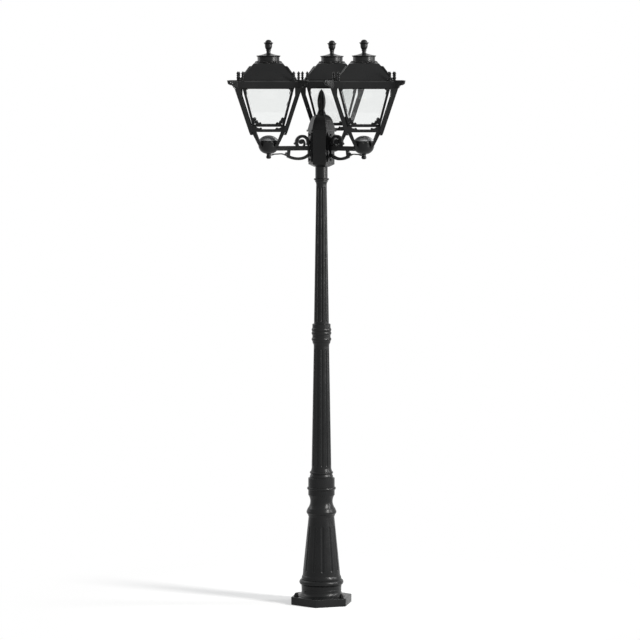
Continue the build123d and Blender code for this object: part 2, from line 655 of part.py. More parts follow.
save(middle_coupling.part, "middle_coupling")

POST_PLUG_RADIUS = UPPER_TOP_RADIUS - COLUMN_WALL - PLUG_CLEARANCE
POST_BEAD = UPPER_COLUMN_TOP + POST_BEAD_RISE
with BuildPart() as post_top:
    add(
        turned(
            [
                (POST_BORE_RADIUS, UPPER_COLUMN_TOP - SPIGOT_LENGTH),
                (POST_PLUG_RADIUS, UPPER_COLUMN_TOP - SPIGOT_LENGTH),
                (POST_PLUG_RADIUS, UPPER_COLUMN_TOP),
                (UPPER_TOP_RADIUS, UPPER_COLUMN_TOP),
                (UPPER_TOP_RADIUS + 1.5, UPPER_COLUMN_TOP + 7),
                (POST_RADIUS + 1, UPPER_COLUMN_TOP + 12),
                (POST_RADIUS + 1, POST_BEAD - 4),
                ((POST_BEAD_RADIUS, POST_BEAD), (POST_RADIUS, POST_BEAD + 5)),
                (POST_RADIUS, HUB_BOTTOM + HUB_SOCKET_DEPTH),
                (POST_BORE_RADIUS, HUB_BOTTOM + HUB_SOCKET_DEPTH),
            ]
        )
    )
save(post_top.part, "post_top")

# ---------------------------------------------------------------- tie rod
rod_bottom = PLATE_RECESS_DEPTH - TIE_NUT_HEIGHT - TIE_ROD_PROUD
rod_top = HUB_CAVITY_FLOOR + TIE_NUT_HEIGHT + TIE_ROD_PROUD
with BuildPart() as tie_rod:
    with BuildSketch(level(rod_bottom)):
        Circle(TIE_ROD_RADIUS)
    extrude(amount=rod_top - rod_bottom)
    add(nut(TIE_NUT_WIDTH, TIE_NUT_HEIGHT, TIE_ROD_RADIUS, PLATE_RECESS_DEPTH - TIE_NUT_HEIGHT))
    add(nut(TIE_NUT_WIDTH, TIE_NUT_HEIGHT, TIE_ROD_RADIUS, HUB_CAVITY_FLOOR))
save(tie_rod.part, "tie_rod")

# ---------------------------------------------------------------- hub
HUB_TURN = ARM_ANGLES["rear"] + 30  # corners lie between the arms' faces
with BuildPart() as hub:
    with BuildSketch(level(HUB_BOTTOM)):
        RegularPolygon(POST_RADIUS + HUB_BEVEL_MARGIN, 6, rotation=HUB_TURN)
    with BuildSketch(level(HUB_BOTTOM + HUB_BEVEL)):
        RegularPolygon(HUB_RADIUS, 6, rotation=HUB_TURN)
    loft(ruled=True)
    with BuildSketch(level(HUB_BOTTOM + HUB_BEVEL)):
        RegularPolygon(HUB_RADIUS, 6, rotation=HUB_TURN)
    extrude(amount=HUB_TOP - HUB_BOTTOM - HUB_BEVEL)
    with BuildSketch(level(HUB_BOTTOM)):
        Circle(POST_RADIUS + FIT_CLEARANCE)
    extrude(amount=HUB_SOCKET_DEPTH, mode=Mode.SUBTRACT)
    with BuildSketch(level(HUB_CAVITY_FLOOR)):
        Circle(HUB_CAVITY_RADIUS)
    extrude(amount=HUB_TOP - HUB_CAVITY_FLOOR, mode=Mode.SUBTRACT)
    with BuildSketch(level(HUB_BOTTOM + HUB_SOCKET_DEPTH)):
        Circle(TIE_ROD_RADIUS + FIT_CLEARANCE)
    extrude(amount=HUB_FLOOR, mode=Mode.SUBTRACT)
    with BuildSketch(level(HUB_BOTTOM + HUB_SOCKET_DEPTH)):
        with PolarLocations(HUB_CABLE_CIRCLE_RADIUS, CABLE_HOLE_COUNT):
            Circle(HUB_CABLE_RADIUS)
    extrude(amount=HUB_FLOOR, mode=Mode.SUBTRACT)
    for angle in ARM_LIST:
        ray = Vector(1, 0, 0).rotate(Axis.Z, angle)
        drillings = [(height, ARM_SCREW_RADIUS) for height in ARM_SCREW_HEIGHTS]
        drillings.append((ARM_BAR_MIDDLE, ARM_CABLE_RADIUS))
        for height, radius in drillings:
            start = ray * (HUB_APOTHEM - HUB_DRILL_START) + Vector(0, 0, height)
            with BuildSketch(Plane(start, z_dir=ray)):
                Circle(radius)
            extrude(amount=HUB_DRILL_LENGTH, mode=Mode.SUBTRACT)
save(hub.part, "hub")

cap_bottom = HUB_TOP - CAP_OVERLAP
CAP_RISE = CAP_TOP - cap_bottom
# The cap's hexagons, each (share of its height, share of its radius across corners)
CAP_PROFILE = ((0.0, 1.0), (0.4, 0.87), (0.7, 0.75), (0.85, 0.63), (0.94, 0.5))
with BuildPart() as hub_cap:
    for rise, width in CAP_PROFILE:
        with BuildSketch(level(cap_bottom + rise * CAP_RISE)):
            RegularPolygon(width * CAP_RADIUS, 6, rotation=HUB_TURN)
    with BuildSketch(level(CAP_TOP)):
        RegularPolygon(CAP_FLAT_RADIUS, 6, rotation=HUB_TURN)
    loft(ruled=True)
    with BuildSketch(level(cap_bottom)):
        RegularPolygon(CAP_LIP_RADIUS, 6, rotation=HUB_TURN)
    extrude(amount=CAP_LIP_HEIGHT)
    with BuildSketch(level(cap_bottom)):
        RegularPolygon(HUB_RADIUS + FIT_CLEARANCE, 6, rotation=HUB_TURN)
    extrude(amount=CAP_OVERLAP, mode=Mode.SUBTRACT)
    with BuildSketch(level(HUB_TOP)):
        Circle(HUB_CAVITY_RADIUS)
    with BuildSketch(level(CAP_TOP - CAP_CAVITY_DROP)):
        Circle(CAP_CAVITY_RADIUS)
    loft(mode=Mode.SUBTRACT)
save(hub_cap.part, "hub_cap")

with BuildPart() as flame_finial:
    add(
        turned(
            [
                (0, CAP_TOP),
                (FLAME_BASE_RADIUS, CAP_TOP),
                (FLAME_BASE_RADIUS, CAP_TOP + 5),
                (
                    (FLAME_NECK_RADIUS + 1, CAP_TOP + FLAME_NECK_RISE - 8),
                    (FLAME_NECK_RADIUS, CAP_TOP + FLAME_NECK_RISE),
                ),
                ((FLAME_RADIUS, FLAME_TIP - 57), (FLAME_RADIUS - 6, FLAME_TIP - 19)),
                ((FLAME_TIP_RADIUS, FLAME_TIP - 6), (1, FLAME_TIP - 1)),
                (0, FLAME_TIP),
            ]
        )
    )
save(flame_finial.part, "flame_finial")

with BuildPart() as terminal_block:
    with BuildSketch(level(HUB_CAVITY_FLOOR)):
        with Locations((HUB_CAVITY_RADIUS / 2, 0)):
            Rectangle(TERMINAL_WIDTH, TERMINAL_LENGTH)
    extrude(amount=TERMINAL_HEIGHT)
    with BuildSketch(level(HUB_CAVITY_FLOOR + TERMINAL_HEIGHT)):
        with Locations((HUB_CAVITY_RADIUS / 2, 0)):
            with GridLocations(1, TERMINAL_POLE_PITCH, 1, 3):
                Circle(TERMINAL_POLE_RADIUS)
    extrude(amount=-TERMINAL_POLE_DEPTH, mode=Mode.SUBTRACT)
save(terminal_block.part, "terminal_block")


# ---------------------------------------------------------------- lantern on an arm
def lantern_centre(angle):
    """Where an arm's lantern stands."""
    spot = Vector(ARM_REACH, 0, 0).rotate(Axis.Z, angle)
    return (spot.X, spot.Y)


def bowl_outside(centre):
    """The outer shape of a lantern's bowl and its four raking legs, which the arm's bar meets."""
    half = LEG_WIDTH / 2
    knee_half = LEG_KNEE_WIDTH / 2
    knee = LEG_KNEE_HALF - knee_half
    top = LEG_TOP_HALF - half
    cup = turned(
        [
            (0, BOWL_BOTTOM),
            (BOWL_BOSS_RADIUS, BOWL_BOTTOM),
            (BOWL_BOSS_RADIUS, BOWL_BOTTOM + 2),
            (BOWL_BOSS_RADIUS + 7, BOWL_BOTTOM + 4),
            ((BOWL_RADIUS - 7.5, BOWL_BOTTOM + 17), (BOWL_RADIUS, BOWL_RIM - BOWL_HEIGHT / 3)),
            (BOWL_RIM_RADIUS, BOWL_RIM - BOWL_RIM_HEIGHT),
            (BOWL_RIM_RADIUS, BOWL_RIM),
            (0, BOWL_RIM),
        ],
        centre,
    )
    with BuildPart() as casting:
        add(cup)
        for right, back in CORNERS:
            add(
                tapered(
                    [
                        (LEG_FOOT, LEG_FOOT_HALF, LEG_FOOT_OUT * right, LEG_FOOT_OUT * back),
                        (LEG_KNEE, knee_half, knee * right, knee * back),
                        (CAGE_RAIL_BOTTOM, half, top * right, top * back),
                    ],
                    centre,
                )
            )
    return casting.part


def bowl(centre):
    """Round bowl with four raking legs that carry the cage."""
    inside = turned(
        [
            (0, BOWL_BOTTOM + BOWL_FLOOR),
            (BOWL_BOSS_RADIUS + 5, BOWL_BOTTOM + BOWL_FLOOR),
            (
                (BOWL_RADIUS - 3 * BOWL_WALL, BOWL_BOTTOM + 2 * BOWL_FLOOR + 2),
                (BOWL_RADIUS - BOWL_WALL, BOWL_RIM - BOWL_HEIGHT / 3),
            ),
            (BOWL_RIM_RADIUS - BOWL_WALL, BOWL_RIM - BOWL_RIM_HEIGHT),
            (BOWL_RIM_RADIUS - BOWL_WALL, BOWL_RIM),
            (0, BOWL_RIM),
        ],
        centre,
    )
    with BuildPart() as casting:
        add(bowl_outside(centre))
        add(inside, mode=Mode.SUBTRACT)
        with BuildSketch(level(BOWL_BOTTOM, centre)):
            Circle(DROP_STUD_RADIUS)
        extrude(amount=BOWL_FLOOR, mode=Mode.SUBTRACT)
    return casting.part


def arm(angle):
    """Flange, bar, upper scroll, lower scroll with its tail, and the eye under the bowl."""
    centre = lantern_centre(angle)
    ray = Vector(1, 0, 0).rotate(Axis.Z, angle)
    side = Plane((0, 0, 0), x_dir=ray, z_dir=ray.cross(Vector(0, 0, 1)))
    face = HUB_APOTHEM + ARM_FLANGE_THICKNESS
    bar_bottom = ARM_BAR_TOP - ARM_BAR_HEIGHT
    scroll = (face + ARM_SCROLL_OUT, ARM_BAR_TOP + ARM_SCROLL_RISE)
    strut = face + ARM_STRUT_OUT
    foot = bar_bottom - ARM_LOWER_DEPTH
    tail_height = bar_bottom - 14
    eye_height = ARM_EYE_BOTTOM + ARM_EYE_THICKNESS / 2
    with BuildPart() as casting:
        seat = ray * HUB_APOTHEM + Vector(0, 0, ARM_FLANGE_BOTTOM)
        with BuildSketch(Plane(seat, x_dir=ray.cross(Vector(0, 0, 1)), z_dir=ray)):
            Rectangle(
                ARM_FLANGE_WIDTH,
                ARM_FLANGE_TOP - ARM_FLANGE_BOTTOM,
                align=(Align.CENTER, Align.MAX),
            )
        extrude(amount=ARM_FLANGE_THICKNESS)
        with BuildSketch(side):
            with BuildLine():
                Polyline(
                    (face, bar_bottom),
                    (ARM_REACH - ARM_BAR_END, bar_bottom),
                    (ARM_REACH - ARM_BAR_END, ARM_BAR_TOP),
                    (face, ARM_BAR_TOP),
                    close=True,
                )
            make_face()
        extrude(amount=ARM_BAR_WIDTH / 2, both=True)
        with BuildSketch(side):
            with BuildLine():
                CenterArc(scroll, ARM_SCROLL_RADIUS, -40, 250)
            trace(line_width=ARM_SCROLL_BAND)
            with BuildLine():
                Spline(
                    (scroll[0] - 5, ARM_BAR_TOP - 2),
                    (scroll[0] - 9, scroll[1] - 2),
                    (scroll[0] - 2, scroll[1] + 9),
                    (scroll[0] + 8, scroll[1] + 6),
                )
            trace(line_width=ARM_HOOK_BAND)
            with Locations((scroll[0] + 6, scroll[1] + 2)):
                Circle(ARM_SCROLL_BALL)
            with Locations((scroll[0] + ARM_SCROLL_RADIUS + 6, scroll[1] - 5)):
                Circle(ARM_BUD_RADIUS)
        extrude(amount=ARM_BAR_WIDTH / 2 - ARM_SCROLL_INSET, both=True)
        with BuildSketch(side):
            with BuildLine():
                Spline(
                    (face, bar_bottom - 14),
                    (face + 22, foot + 5),
                    (face + 50, foot),
                    (strut - 16, foot + 4),
                    (strut + 4, foot + 12),
                )
            trace(line_width=ARM_LOWER_BAND)
            with BuildLine():
                Spline(
                    (strut, foot + 10),
                    (strut + 26, tail_height),
                    (strut + 48, tail_height),
                    (ARM_REACH - 22, tail_height - 1),
                    (ARM_REACH - 6, eye_height),
                    tangents=((1, 0.4), (1, 0)),
                )
            trace(line_width=ARM_EYE_THICKNESS)
            with BuildLine():
                Line((strut - 3, bar_bottom + 2), (strut, foot + 10))
            trace(line_width=ARM_LOWER_BAND)
            with BuildLine():
                Line((face + 1, bar_bottom + 4), (face + 1, bar_bottom - 24))
            trace(line_width=ARM_LOWER_BAND)
            with Locations((strut + 8, bar_bottom - 12)):
                Circle(ARM_BUD_RADIUS)
        extrude(amount=ARM_BAR_WIDTH / 2 - ARM_LOWER_INSET, both=True)
        with BuildSketch(level(ARM_EYE_BOTTOM, centre)):
            Circle(ARM_EYE_RADIUS)
        extrude(amount=ARM_EYE_THICKNESS)
        with BuildSketch(level(ARM_EYE_BOTTOM, centre)):
            Circle(DROP_STUD_RADIUS + FIT_CLEARANCE)
        extrude(amount=ARM_EYE_THICKNESS, mode=Mode.SUBTRACT)
        with BuildSketch(Plane(ray * HUB_APOTHEM + Vector(0, 0, ARM_BAR_MIDDLE), z_dir=ray)):
            Circle(ARM_CABLE_RADIUS)
        extrude(amount=ARM_REACH, mode=Mode.SUBTRACT)
        for height in ARM_SCREW_HEIGHTS:
            with BuildSketch(Plane(ray * HUB_APOTHEM + Vector(0, 0, height), z_dir=ray)):
                Circle(ARM_SCREW_RADIUS + FIT_CLEARANCE)
            extrude(amount=ARM_FLANGE_THICKNESS, mode=Mode.SUBTRACT)
        add(bowl_outside(centre), mode=Mode.SUBTRACT)
    return casting.part


def drop_finial(centre):
    """Ball finial whose stud passes the arm's eye into the bowl."""
    widest = (DROP_TIP + ARM_EYE_BOTTOM) / 2 + 1.5
    return turned(
        [
            (0, DROP_TIP),
            (1, DROP_TIP),
            ((DROP_BALL_RADIUS, widest), (ARM_EYE_RADIUS - 0.5, ARM_EYE_BOTTOM)),
            (DROP_STUD_RADIUS, ARM_EYE_BOTTOM),
            (DROP_STUD_RADIUS, BOWL_BOTTOM + BOWL_FLOOR),
            (0, BOWL_BOTTOM + BOWL_FLOOR),
        ],
        centre,
    )


def wiring_cover(centre):
    """Shallow dome over the bowl."""
    radius = BOWL_RIM_RADIUS - 1
    inner = radius - COVER_FLANGE
    top = BOWL_RIM + COVER_RISE
    return turned(
        [
            (inner, BOWL_RIM),
            (radius, BOWL_RIM),
            (radius - COVER_WALL, BOWL_RIM + COVER_WALL),
            ((radius * 0.64, BOWL_RIM + COVER_RISE * 0.66), (1, top)),
            (0, top),
            (0, top - COVER_WALL),
            (1, top - COVER_WALL),
            ((radius * 0.6, BOWL_RIM + COVER_RISE * 0.58), (inner, BOWL_RIM)),
        ],
        centre,
    )


def cage(centre):
    """Four raking corner posts on a square rail, with pendants under it and scrolls on it."""
    half = POST_WIDTH / 2
    gusset_bottom = EAVE_BOTTOM - POST_GUSSET_HEIGHT
    rake = (POST_TOP_HALF - POST_BOTTOM_HALF) / (EAVE_BOTTOM - CAGE_RAIL_BOTTOM)
    top = POST_TOP_HALF - half
    bottom = POST_BOTTOM_HALF - half
    at_gusset = top - rake * POST_GUSSET_HEIGHT
    wide = half + POST_GUSSET / 2
    pendant = PENDANT_TOP_HALF - PENDANT_WIDTH / 2
    tip = PENDANT_TIP_HALF - PENDANT_TIP_WIDTH / 2
    tip_height = CAGE_RAIL_BOTTOM - PENDANT_LENGTH
    with BuildPart() as frame:
        add(
            square_ring(
                CAGE_RAIL_HALF,
                CAGE_RAIL_INNER_HALF,
                CAGE_RAIL_BOTTOM,
                CAGE_RAIL_TOP,
                centre,
            )
        )
        for right, back in CORNERS:
            add(
                tapered(
                    [
                        (CAGE_RAIL_BOTTOM, half, bottom * right, bottom * back),
                        (EAVE_BOTTOM, half, top * right, top * back),
                    ],
                    centre,
                )
            )
            add(
                tapered(
                    [
                        (gusset_bottom, half, at_gusset * right, at_gusset * back),
                        (
                            EAVE_BOTTOM,
                            wide,
                            (POST_TOP_HALF - wide) * right,
                            (POST_TOP_HALF - wide) * back,
                        ),
                    ],
                    centre,
                )
            )
            add(
                tapered(
                    [
                        (tip_height, PENDANT_TIP_WIDTH / 2, tip * right, tip * back),
                        (CAGE_RAIL_BOTTOM, PENDANT_WIDTH / 2, pendant * right, pendant * back),
                    ],
                    centre,
                )
            )
        front = Plane((centre[0], centre[1], 0), x_dir=(1, 0, 0), z_dir=(0, -1, 0))
        outset = CAGE_RAIL_HALF - CAGE_SCROLL_INSET - CAGE_SCROLL_THICKNESS
        for turn in (0, 90, 180, 270):
            with BuildSketch(front.rotated((0, 0, turn)).offset(outset)):
                for out, rise, radius in CAGE_SCROLLS:
                    with Locations((-out, CAGE_RAIL_TOP + rise), (out, CAGE_RAIL_TOP + rise)):
                        Circle(radius)
            extrude(amount=CAGE_SCROLL_THICKNESS)
    return frame.part


def frame_half(height):
    """Half width of the glazed frame's outside at a height."""
    share = (height - FRAME_RAIL_BOTTOM) / (EAVE_BOTTOM - FRAME_RAIL_BOTTOM)
    return FRAME_BOTTOM_HALF + share * (FRAME_TOP_HALF - FRAME_BOTTOM_HALF)


def glazing_frame(centre):
    """Slim raking frame that hangs on the eave's ledge inside the cage."""
    half = FRAME_BAR / 2
    top = EAVE_LEDGE_TOP + FRAME_FLANGE_THICKNESS
    with BuildPart() as frame:
        for right, back in CORNERS:
            low = FRAME_BOTTOM_HALF - half
            high = FRAME_TOP_HALF - half
            add(
                tapered(
                    [
                        (FRAME_RAIL_BOTTOM, half, low * right, low * back),
                        (EAVE_BOTTOM, half, high * right, high * back),
                    ],
                    centre,
                )
            )
        add(
            square_ring(
                FRAME_BOTTOM_HALF,
                FRAME_RAIL_INNER_HALF,
                FRAME_RAIL_BOTTOM,
                FRAME_RAIL_TOP,
                centre,
            )
        )
        add(square_ring(FRAME_TOP_HALF, FRAME_TOP_HALF - FRAME_BAR, EAVE_BOTTOM - 4, top, centre))
        add(square_ring(FRAME_FLANGE_HALF, FRAME_TOP_HALF - FRAME_BAR, EAVE_LEDGE_TOP, top, centre))
        for turn in (0, 90, 180, 270):
            across = Vector(1, 0, 0).rotate(Axis.Z, turn)
            out = Vector(0, -1, 0).rotate(Axis.Z, turn)
            axis_foot = Vector(centre[0], centre[1], FRAME_RAIL_TOP)
            axis_head = Vector(centre[0], centre[1], EAVE_BOTTOM)
            foot_point = axis_foot + out * (frame_half(FRAME_RAIL_TOP) - half)
            head_point = axis_head + out * (FRAME_TOP_HALF - half)
            run = head_point - foot_point
            corner = FRAME_TOP_HALF - FRAME_BAR
            with BuildSketch(Plane(foot_point, x_dir=across, z_dir=across.cross(run))):
                for hand in (-1, 1):
                    with BuildLine():
                        Polyline(
                            ((corner + 2) * hand, run.length - 2),
                            ((corner - FRAME_GUSSET) * hand, run.length - 2),
                            ((corner - 3) * hand, run.length - FRAME_GUSSET - 3),
                            close=True,
                        )
                    make_face()
                for place, rise, radius in FRAME_SCROLLS:
                    with Locations((-place, rise), (place, rise)):
                        Circle(radius)
            extrude(amount=SCROLL_THICKNESS / 2, both=True)
    return frame.part


def panes(centre):
    """Four raking panes inside the glazed frame."""
    with BuildPart() as glass:
        for turn in (0, 90, 180, 270):
            for height in (FRAME_RAIL_TOP, EAVE_LEDGE_TOP):
                out = frame_half(min(height, EAVE_BOTTOM)) - FRAME_BAR - PANE_CLEARANCE
                with BuildSketch(Plane((centre[0], centre[1], height)).rotated((0, 0, turn))):
                    with Locations((0, -out)):
                        Rectangle(
                            2 * (out - PANE_THICKNESS - PANE_CLEARANCE),
                            PANE_THICKNESS,
                            align=(Align.CENTER, Align.MIN),
                        )
            loft(ruled=True)
    return glass.part


def eave(centre):
    """Square eave frame: wall, inner ledge, sloping top with pads, and a carved ear per corner."""
    wall_inner = EAVE_HALF - EAVE_WALL
    post_corner = POST_TOP_HALF * 2**0.5
    tip = (EAVE_HALF + EAR_REACH) * 2**0.5
    with BuildPart() as frame:
        add(square_ring(EAVE_HALF, wall_inner, EAVE_BOTTOM, EAVE_PLATE_BOTTOM, centre))
        add(
            square_ring(
                EAVE_HALF,
                EAVE_LEDGE_HALF,
                EAVE_BOTTOM,
                EAVE_LEDGE_TOP,
                centre,
            )
        )
        add(tapered([(EAVE_PLATE_BOTTOM, EAVE_HALF), (EAVE_TOP, EAVE_SLOPE_HALF)], centre))
        add(
            tapered([(EAVE_PLATE_BOTTOM, EAVE_SEAT_HALF), (EAVE_TOP, EAVE_SEAT_HALF)], centre),
            mode=Mode.SUBTRACT,
        )
        for right, back in CORNERS:
            ray = Vector(right, back, 0).normalized()
            side = Plane(
                (centre[0], centre[1], 0), x_dir=ray, z_dir=ray.cross(Vector(0, 0, 1))
            )
            with BuildSketch(side):
                with BuildLine():
                    Polyline(
                        (wall_inner * 2**0.5, EAVE_BOTTOM),
                        (post_corner, EAVE_BOTTOM),
                        (post_corner + 5, EAVE_BOTTOM + 7),
                        (tip - 24, EAVE_BOTTOM + 12),
                    )
                    ThreePointArc(
                        (tip - 24, EAVE_BOTTOM + 12),
                        (tip - 6, EAVE_BOTTOM + 17),
                        (tip, EAVE_TOP - 2),
                    )
                    Polyline(
                        (tip, EAVE_TOP - 2),
                        (tip, EAVE_TOP + 1),
                        (EAVE_HALF * 2**0.5 - 3, EAVE_TOP + 1),
                        (wall_inner * 2**0.5, EAVE_PLATE_BOTTOM),
                        (wall_inner * 2**0.5, EAVE_BOTTOM),
                    )
                make_face()
            extrude(amount=EAR_THICKNESS / 2, both=True)
            with BuildSketch(side):
                with Locations((tip - 2 * EAR_VOLUTE_RADIUS, EAVE_TOP - EAR_VOLUTE_RADIUS - 1)):
                    Circle(EAR_VOLUTE_RADIUS)
            extrude(amount=EAR_VOLUTE_WIDTH / 2, both=True)
            for x, y in SPIKE_PLACES:
                with BuildSketch(level(EAVE_PLATE_BOTTOM, centre)):
                    with Locations((x * right, y * back)):
                        Rectangle(SPIKE_PAD, SPIKE_PAD)
                extrude(amount=EAVE_TOP_THICKNESS)
        with BuildSketch(level(EAVE_BOTTOM, centre)):
            with Locations((ROOF_SCREW_X, ROOF_SCREW_Y)):
                Circle(ROOF_SCREW_RADIUS + RUNNING_CLEARANCE)
        extrude(amount=EAVE_LEDGE_THICKNESS, mode=Mode.SUBTRACT)
        with BuildSketch(level(EAVE_PLATE_BOTTOM, centre)):
            with Locations((ROOF_SCREW_X, ROOF_SCREW_Y)):
                Circle(BOSS_RADIUS + BOSS_CLEARANCE)
        extrude(amount=EAVE_TOP_THICKNESS, mode=Mode.SUBTRACT)
    return frame.part


def spikes(centre):
    """Eight beaded spikes, two by each corner of the eave."""
    radius = SPIKE_RADIUS
    with BuildPart() as row:
        for right, back in CORNERS:
            for x, y in SPIKE_PLACES:
                add(
                    turned(
                        [
                            (0, EAVE_TOP),
                            (radius, EAVE_TOP),
                            (radius, EAVE_TOP + 3),
                            (radius - 1.8, EAVE_TOP + 5),
                            ((radius, EAVE_TOP + 11), (radius - 2.2, EAVE_TOP + 17)),
                            ((radius - 0.3, EAVE_TOP + 20), (radius - 2.2, EAVE_TOP + 23)),
                            ((radius, EAVE_TOP + 29), (radius - 3, EAVE_TOP + 35)),
                            (0, EAVE_TOP + SPIKE_HEIGHT),
                        ],
                        (centre[0] + x * right, centre[1] + y * back),
                    )
                )
    return row.part


def roof_half(height):
    """Half width of the hipped roof at a height."""
    share = (height - ROOF_RIM_TOP) / (ROOF_TOP - ROOF_RIM_TOP)
    return ROOF_HALF + share * (ROOF_TOP_HALF - ROOF_HALF)


def roof(centre):
    """Hipped roof with a rim, hip fins, a rounded shoulder, an open neck and the screw's boss."""
    rim_top = ROOF_RIM_TOP
    neck_hole = NECK_RADIUS - NECK_WALL
    fin_bottom = rim_top + 1
    fin_reach = roof_half(ROOF_FIN_TOP) + ROOF_FIN_REACH
    with BuildPart() as shell:
        add(tapered([(EAVE_TOP, ROOF_RIM_HALF), (rim_top, ROOF_RIM_HALF)], centre))
        add(tapered([(rim_top, ROOF_HALF), (ROOF_TOP, ROOF_TOP_HALF)], centre))
        with BuildSketch(level(ROOF_TOP, centre)):
            RectangleRounded(2 * ROOF_TOP_HALF, 2 * ROOF_TOP_HALF, 4)
        with BuildSketch(level(SHOULDER_TOP - 3, centre)):
            RectangleRounded(2 * NECK_RING_RADIUS + 5, 2 * NECK_RING_RADIUS + 5, NECK_RING_RADIUS - 2)
        loft(ruled=True)
        for right, back in CORNERS:
            ray = Vector(right, back, 0).normalized()
            side = Plane((centre[0], centre[1], 0), x_dir=ray, z_dir=ray.cross(Vector(0, 0, 1)))
            diagonal = 2**0.5
            with BuildSketch(side):
                with BuildLine():
                    Polyline(
                        (diagonal * (roof_half(fin_bottom) - 4), fin_bottom),
                        (diagonal * (roof_half(fin_bottom) + ROOF_FIN_FOOT_REACH), fin_bottom),
                        (diagonal * fin_reach, ROOF_FIN_TOP - 2),
                        (diagonal * (fin_reach - 3), ROOF_FIN_TOP),
                        (diagonal * (roof_half(ROOF_FIN_TOP) - 4), ROOF_FIN_TOP),
                        close=True,
                    )
                make_face()
            extrude(amount=ROOF_FIN_THICKNESS / 2, both=True)
        add(
            tapered(
                [
                    (rim_top, ROOF_HALF - 2 * ROOF_WALL),
                    (ROOF_TOP - ROOF_WALL, ROOF_TOP_HALF - 2 * ROOF_WALL),
                ],
                centre,
            ),
            mode=Mode.SUBTRACT,
        )
        add(
            tapered([(EAVE_TOP, ROOF_RIM_INNER_HALF), (rim_top, ROOF_RIM_INNER_HALF)], centre),
            mode=Mode.SUBTRACT,
        )
        add(
            turned(
                [
                    (neck_hole, ROOF_TOP - ROOF_WALL),
                    (NECK_RING_RADIUS, ROOF_TOP - ROOF_WALL),
                    (NECK_RING_RADIUS, SHOULDER_TOP - 3),
                    ((NECK_RING_RADIUS + 2.5, SHOULDER_TOP), (NECK_RING_RADIUS - 1, SHOULDER_TOP + 3)),
                    (NECK_RADIUS, SHOULDER_TOP + 4),
                    (NECK_RADIUS, NECK_TOP),
                    (neck_hole, NECK_TOP),
                ],
                centre,
            )
        )
        with BuildSketch(level(ROOF_TOP - ROOF_WALL, centre)):
            Circle(neck_hole)
        extrude(amount=NECK_TOP, mode=Mode.SUBTRACT)
        with BuildSketch(level(BOSS_BOTTOM, centre)):
            with Locations((ROOF_SCREW_X, ROOF_SCREW_Y)):
                Circle(BOSS_RADIUS)
        extrude(amount=rim_top - BOSS_BOTTOM)
        with BuildSketch(level(BOSS_BOTTOM, centre)):
            with Locations((ROOF_SCREW_X, ROOF_SCREW_Y)):
                Circle(ROOF_SCREW_RADIUS + RUNNING_CLEARANCE)
        extrude(
            amount=EAVE_BOTTOM + ROOF_SCREW_REACH + BOSS_BORE_SPARE - BOSS_BOTTOM,
            mode=Mode.SUBTRACT,
        )
    return shell.part


def roof_finial(centre):
    """Flat conical cap over the neck, with a stem, a ringed urn, a flared rim and a dome."""
    return turned(
        [
            (0, NECK_TOP - FINIAL_PLUG_DEPTH),
            (NECK_RADIUS - NECK_WALL - 1, NECK_TOP - FINIAL_PLUG_DEPTH),
            (NECK_RADIUS - NECK_WALL - 1, NECK_TOP),
            (NECK_RADIUS + 1, NECK_TOP),
            (CAP_DISC_RADIUS, NECK_TOP + 3),
            (CAP_DISC_RADIUS, NECK_TOP + 6),
            (
                (CAP_DISC_RADIUS * 0.55, NECK_TOP + 10),
                (FINIAL_STEM_RADIUS + 0.6, CAP_DISC_TOP),
            ),
            (FINIAL_STEM_RADIUS, CAP_DISC_TOP + 8),
            (FINIAL_STEM_RADIUS + 2, CAP_DISC_TOP + 10),
            (FINIAL_STEM_RADIUS + 2, CAP_DISC_TOP + 13),
            (FINIAL_STEM_RADIUS + 1.2, CAP_DISC_TOP + 15),
            ((URN_RADIUS - 2, CAP_DISC_TOP + 22), (URN_RADIUS - 0.6, CAP_DISC_TOP + 30)),
            (URN_RADIUS, FINIAL_TIP - 19),
            (URN_RIM_RADIUS, FINIAL_TIP - 14),
            (URN_RIM_RADIUS, FINIAL_TIP - 12),
            (URN_RIM_RADIUS - 5.6, FINIAL_TIP - 11),
            ((10, FINIAL_TIP - 3.4), (1, FINIAL_TIP)),
            (0, FINIAL_TIP),
        ],
        centre,
    )


def lamp_bracket(centre):
    """Hat-shaped strip across the roof's rim."""
    foot_bottom = EAVE_TOP - BRACKET_THICKNESS
    bridge_top = HOLDER_TOP + BRACKET_THICKNESS
    with BuildPart() as strip:
        with BuildSketch(Plane((centre[0], centre[1], 0), x_dir=(1, 0, 0), z_dir=(0, -1, 0))):
            with BuildLine():
                Polyline(
                    (-BRACKET_FOOT_HALF, foot_bottom),
                    (-BRACKET_FOOT_HALF, EAVE_TOP),
                    (-BRACKET_LEG_HALF - BRACKET_THICKNESS, EAVE_TOP),
                    (-BRACKET_LEG_HALF - BRACKET_THICKNESS, bridge_top),
                    (BRACKET_LEG_HALF + BRACKET_THICKNESS, bridge_top),
                    (BRACKET_LEG_HALF + BRACKET_THICKNESS, EAVE_TOP),
                    (BRACKET_FOOT_HALF, EAVE_TOP),
                    (BRACKET_FOOT_HALF, foot_bottom),
                    (BRACKET_LEG_HALF, foot_bottom),
                    (BRACKET_LEG_HALF, HOLDER_TOP),
                    (-BRACKET_LEG_HALF, HOLDER_TOP),
                    (-BRACKET_LEG_HALF, foot_bottom),
                    close=True,
                )
            make_face()
        extrude(amount=BRACKET_WIDTH / 2, both=True)
    return strip.part


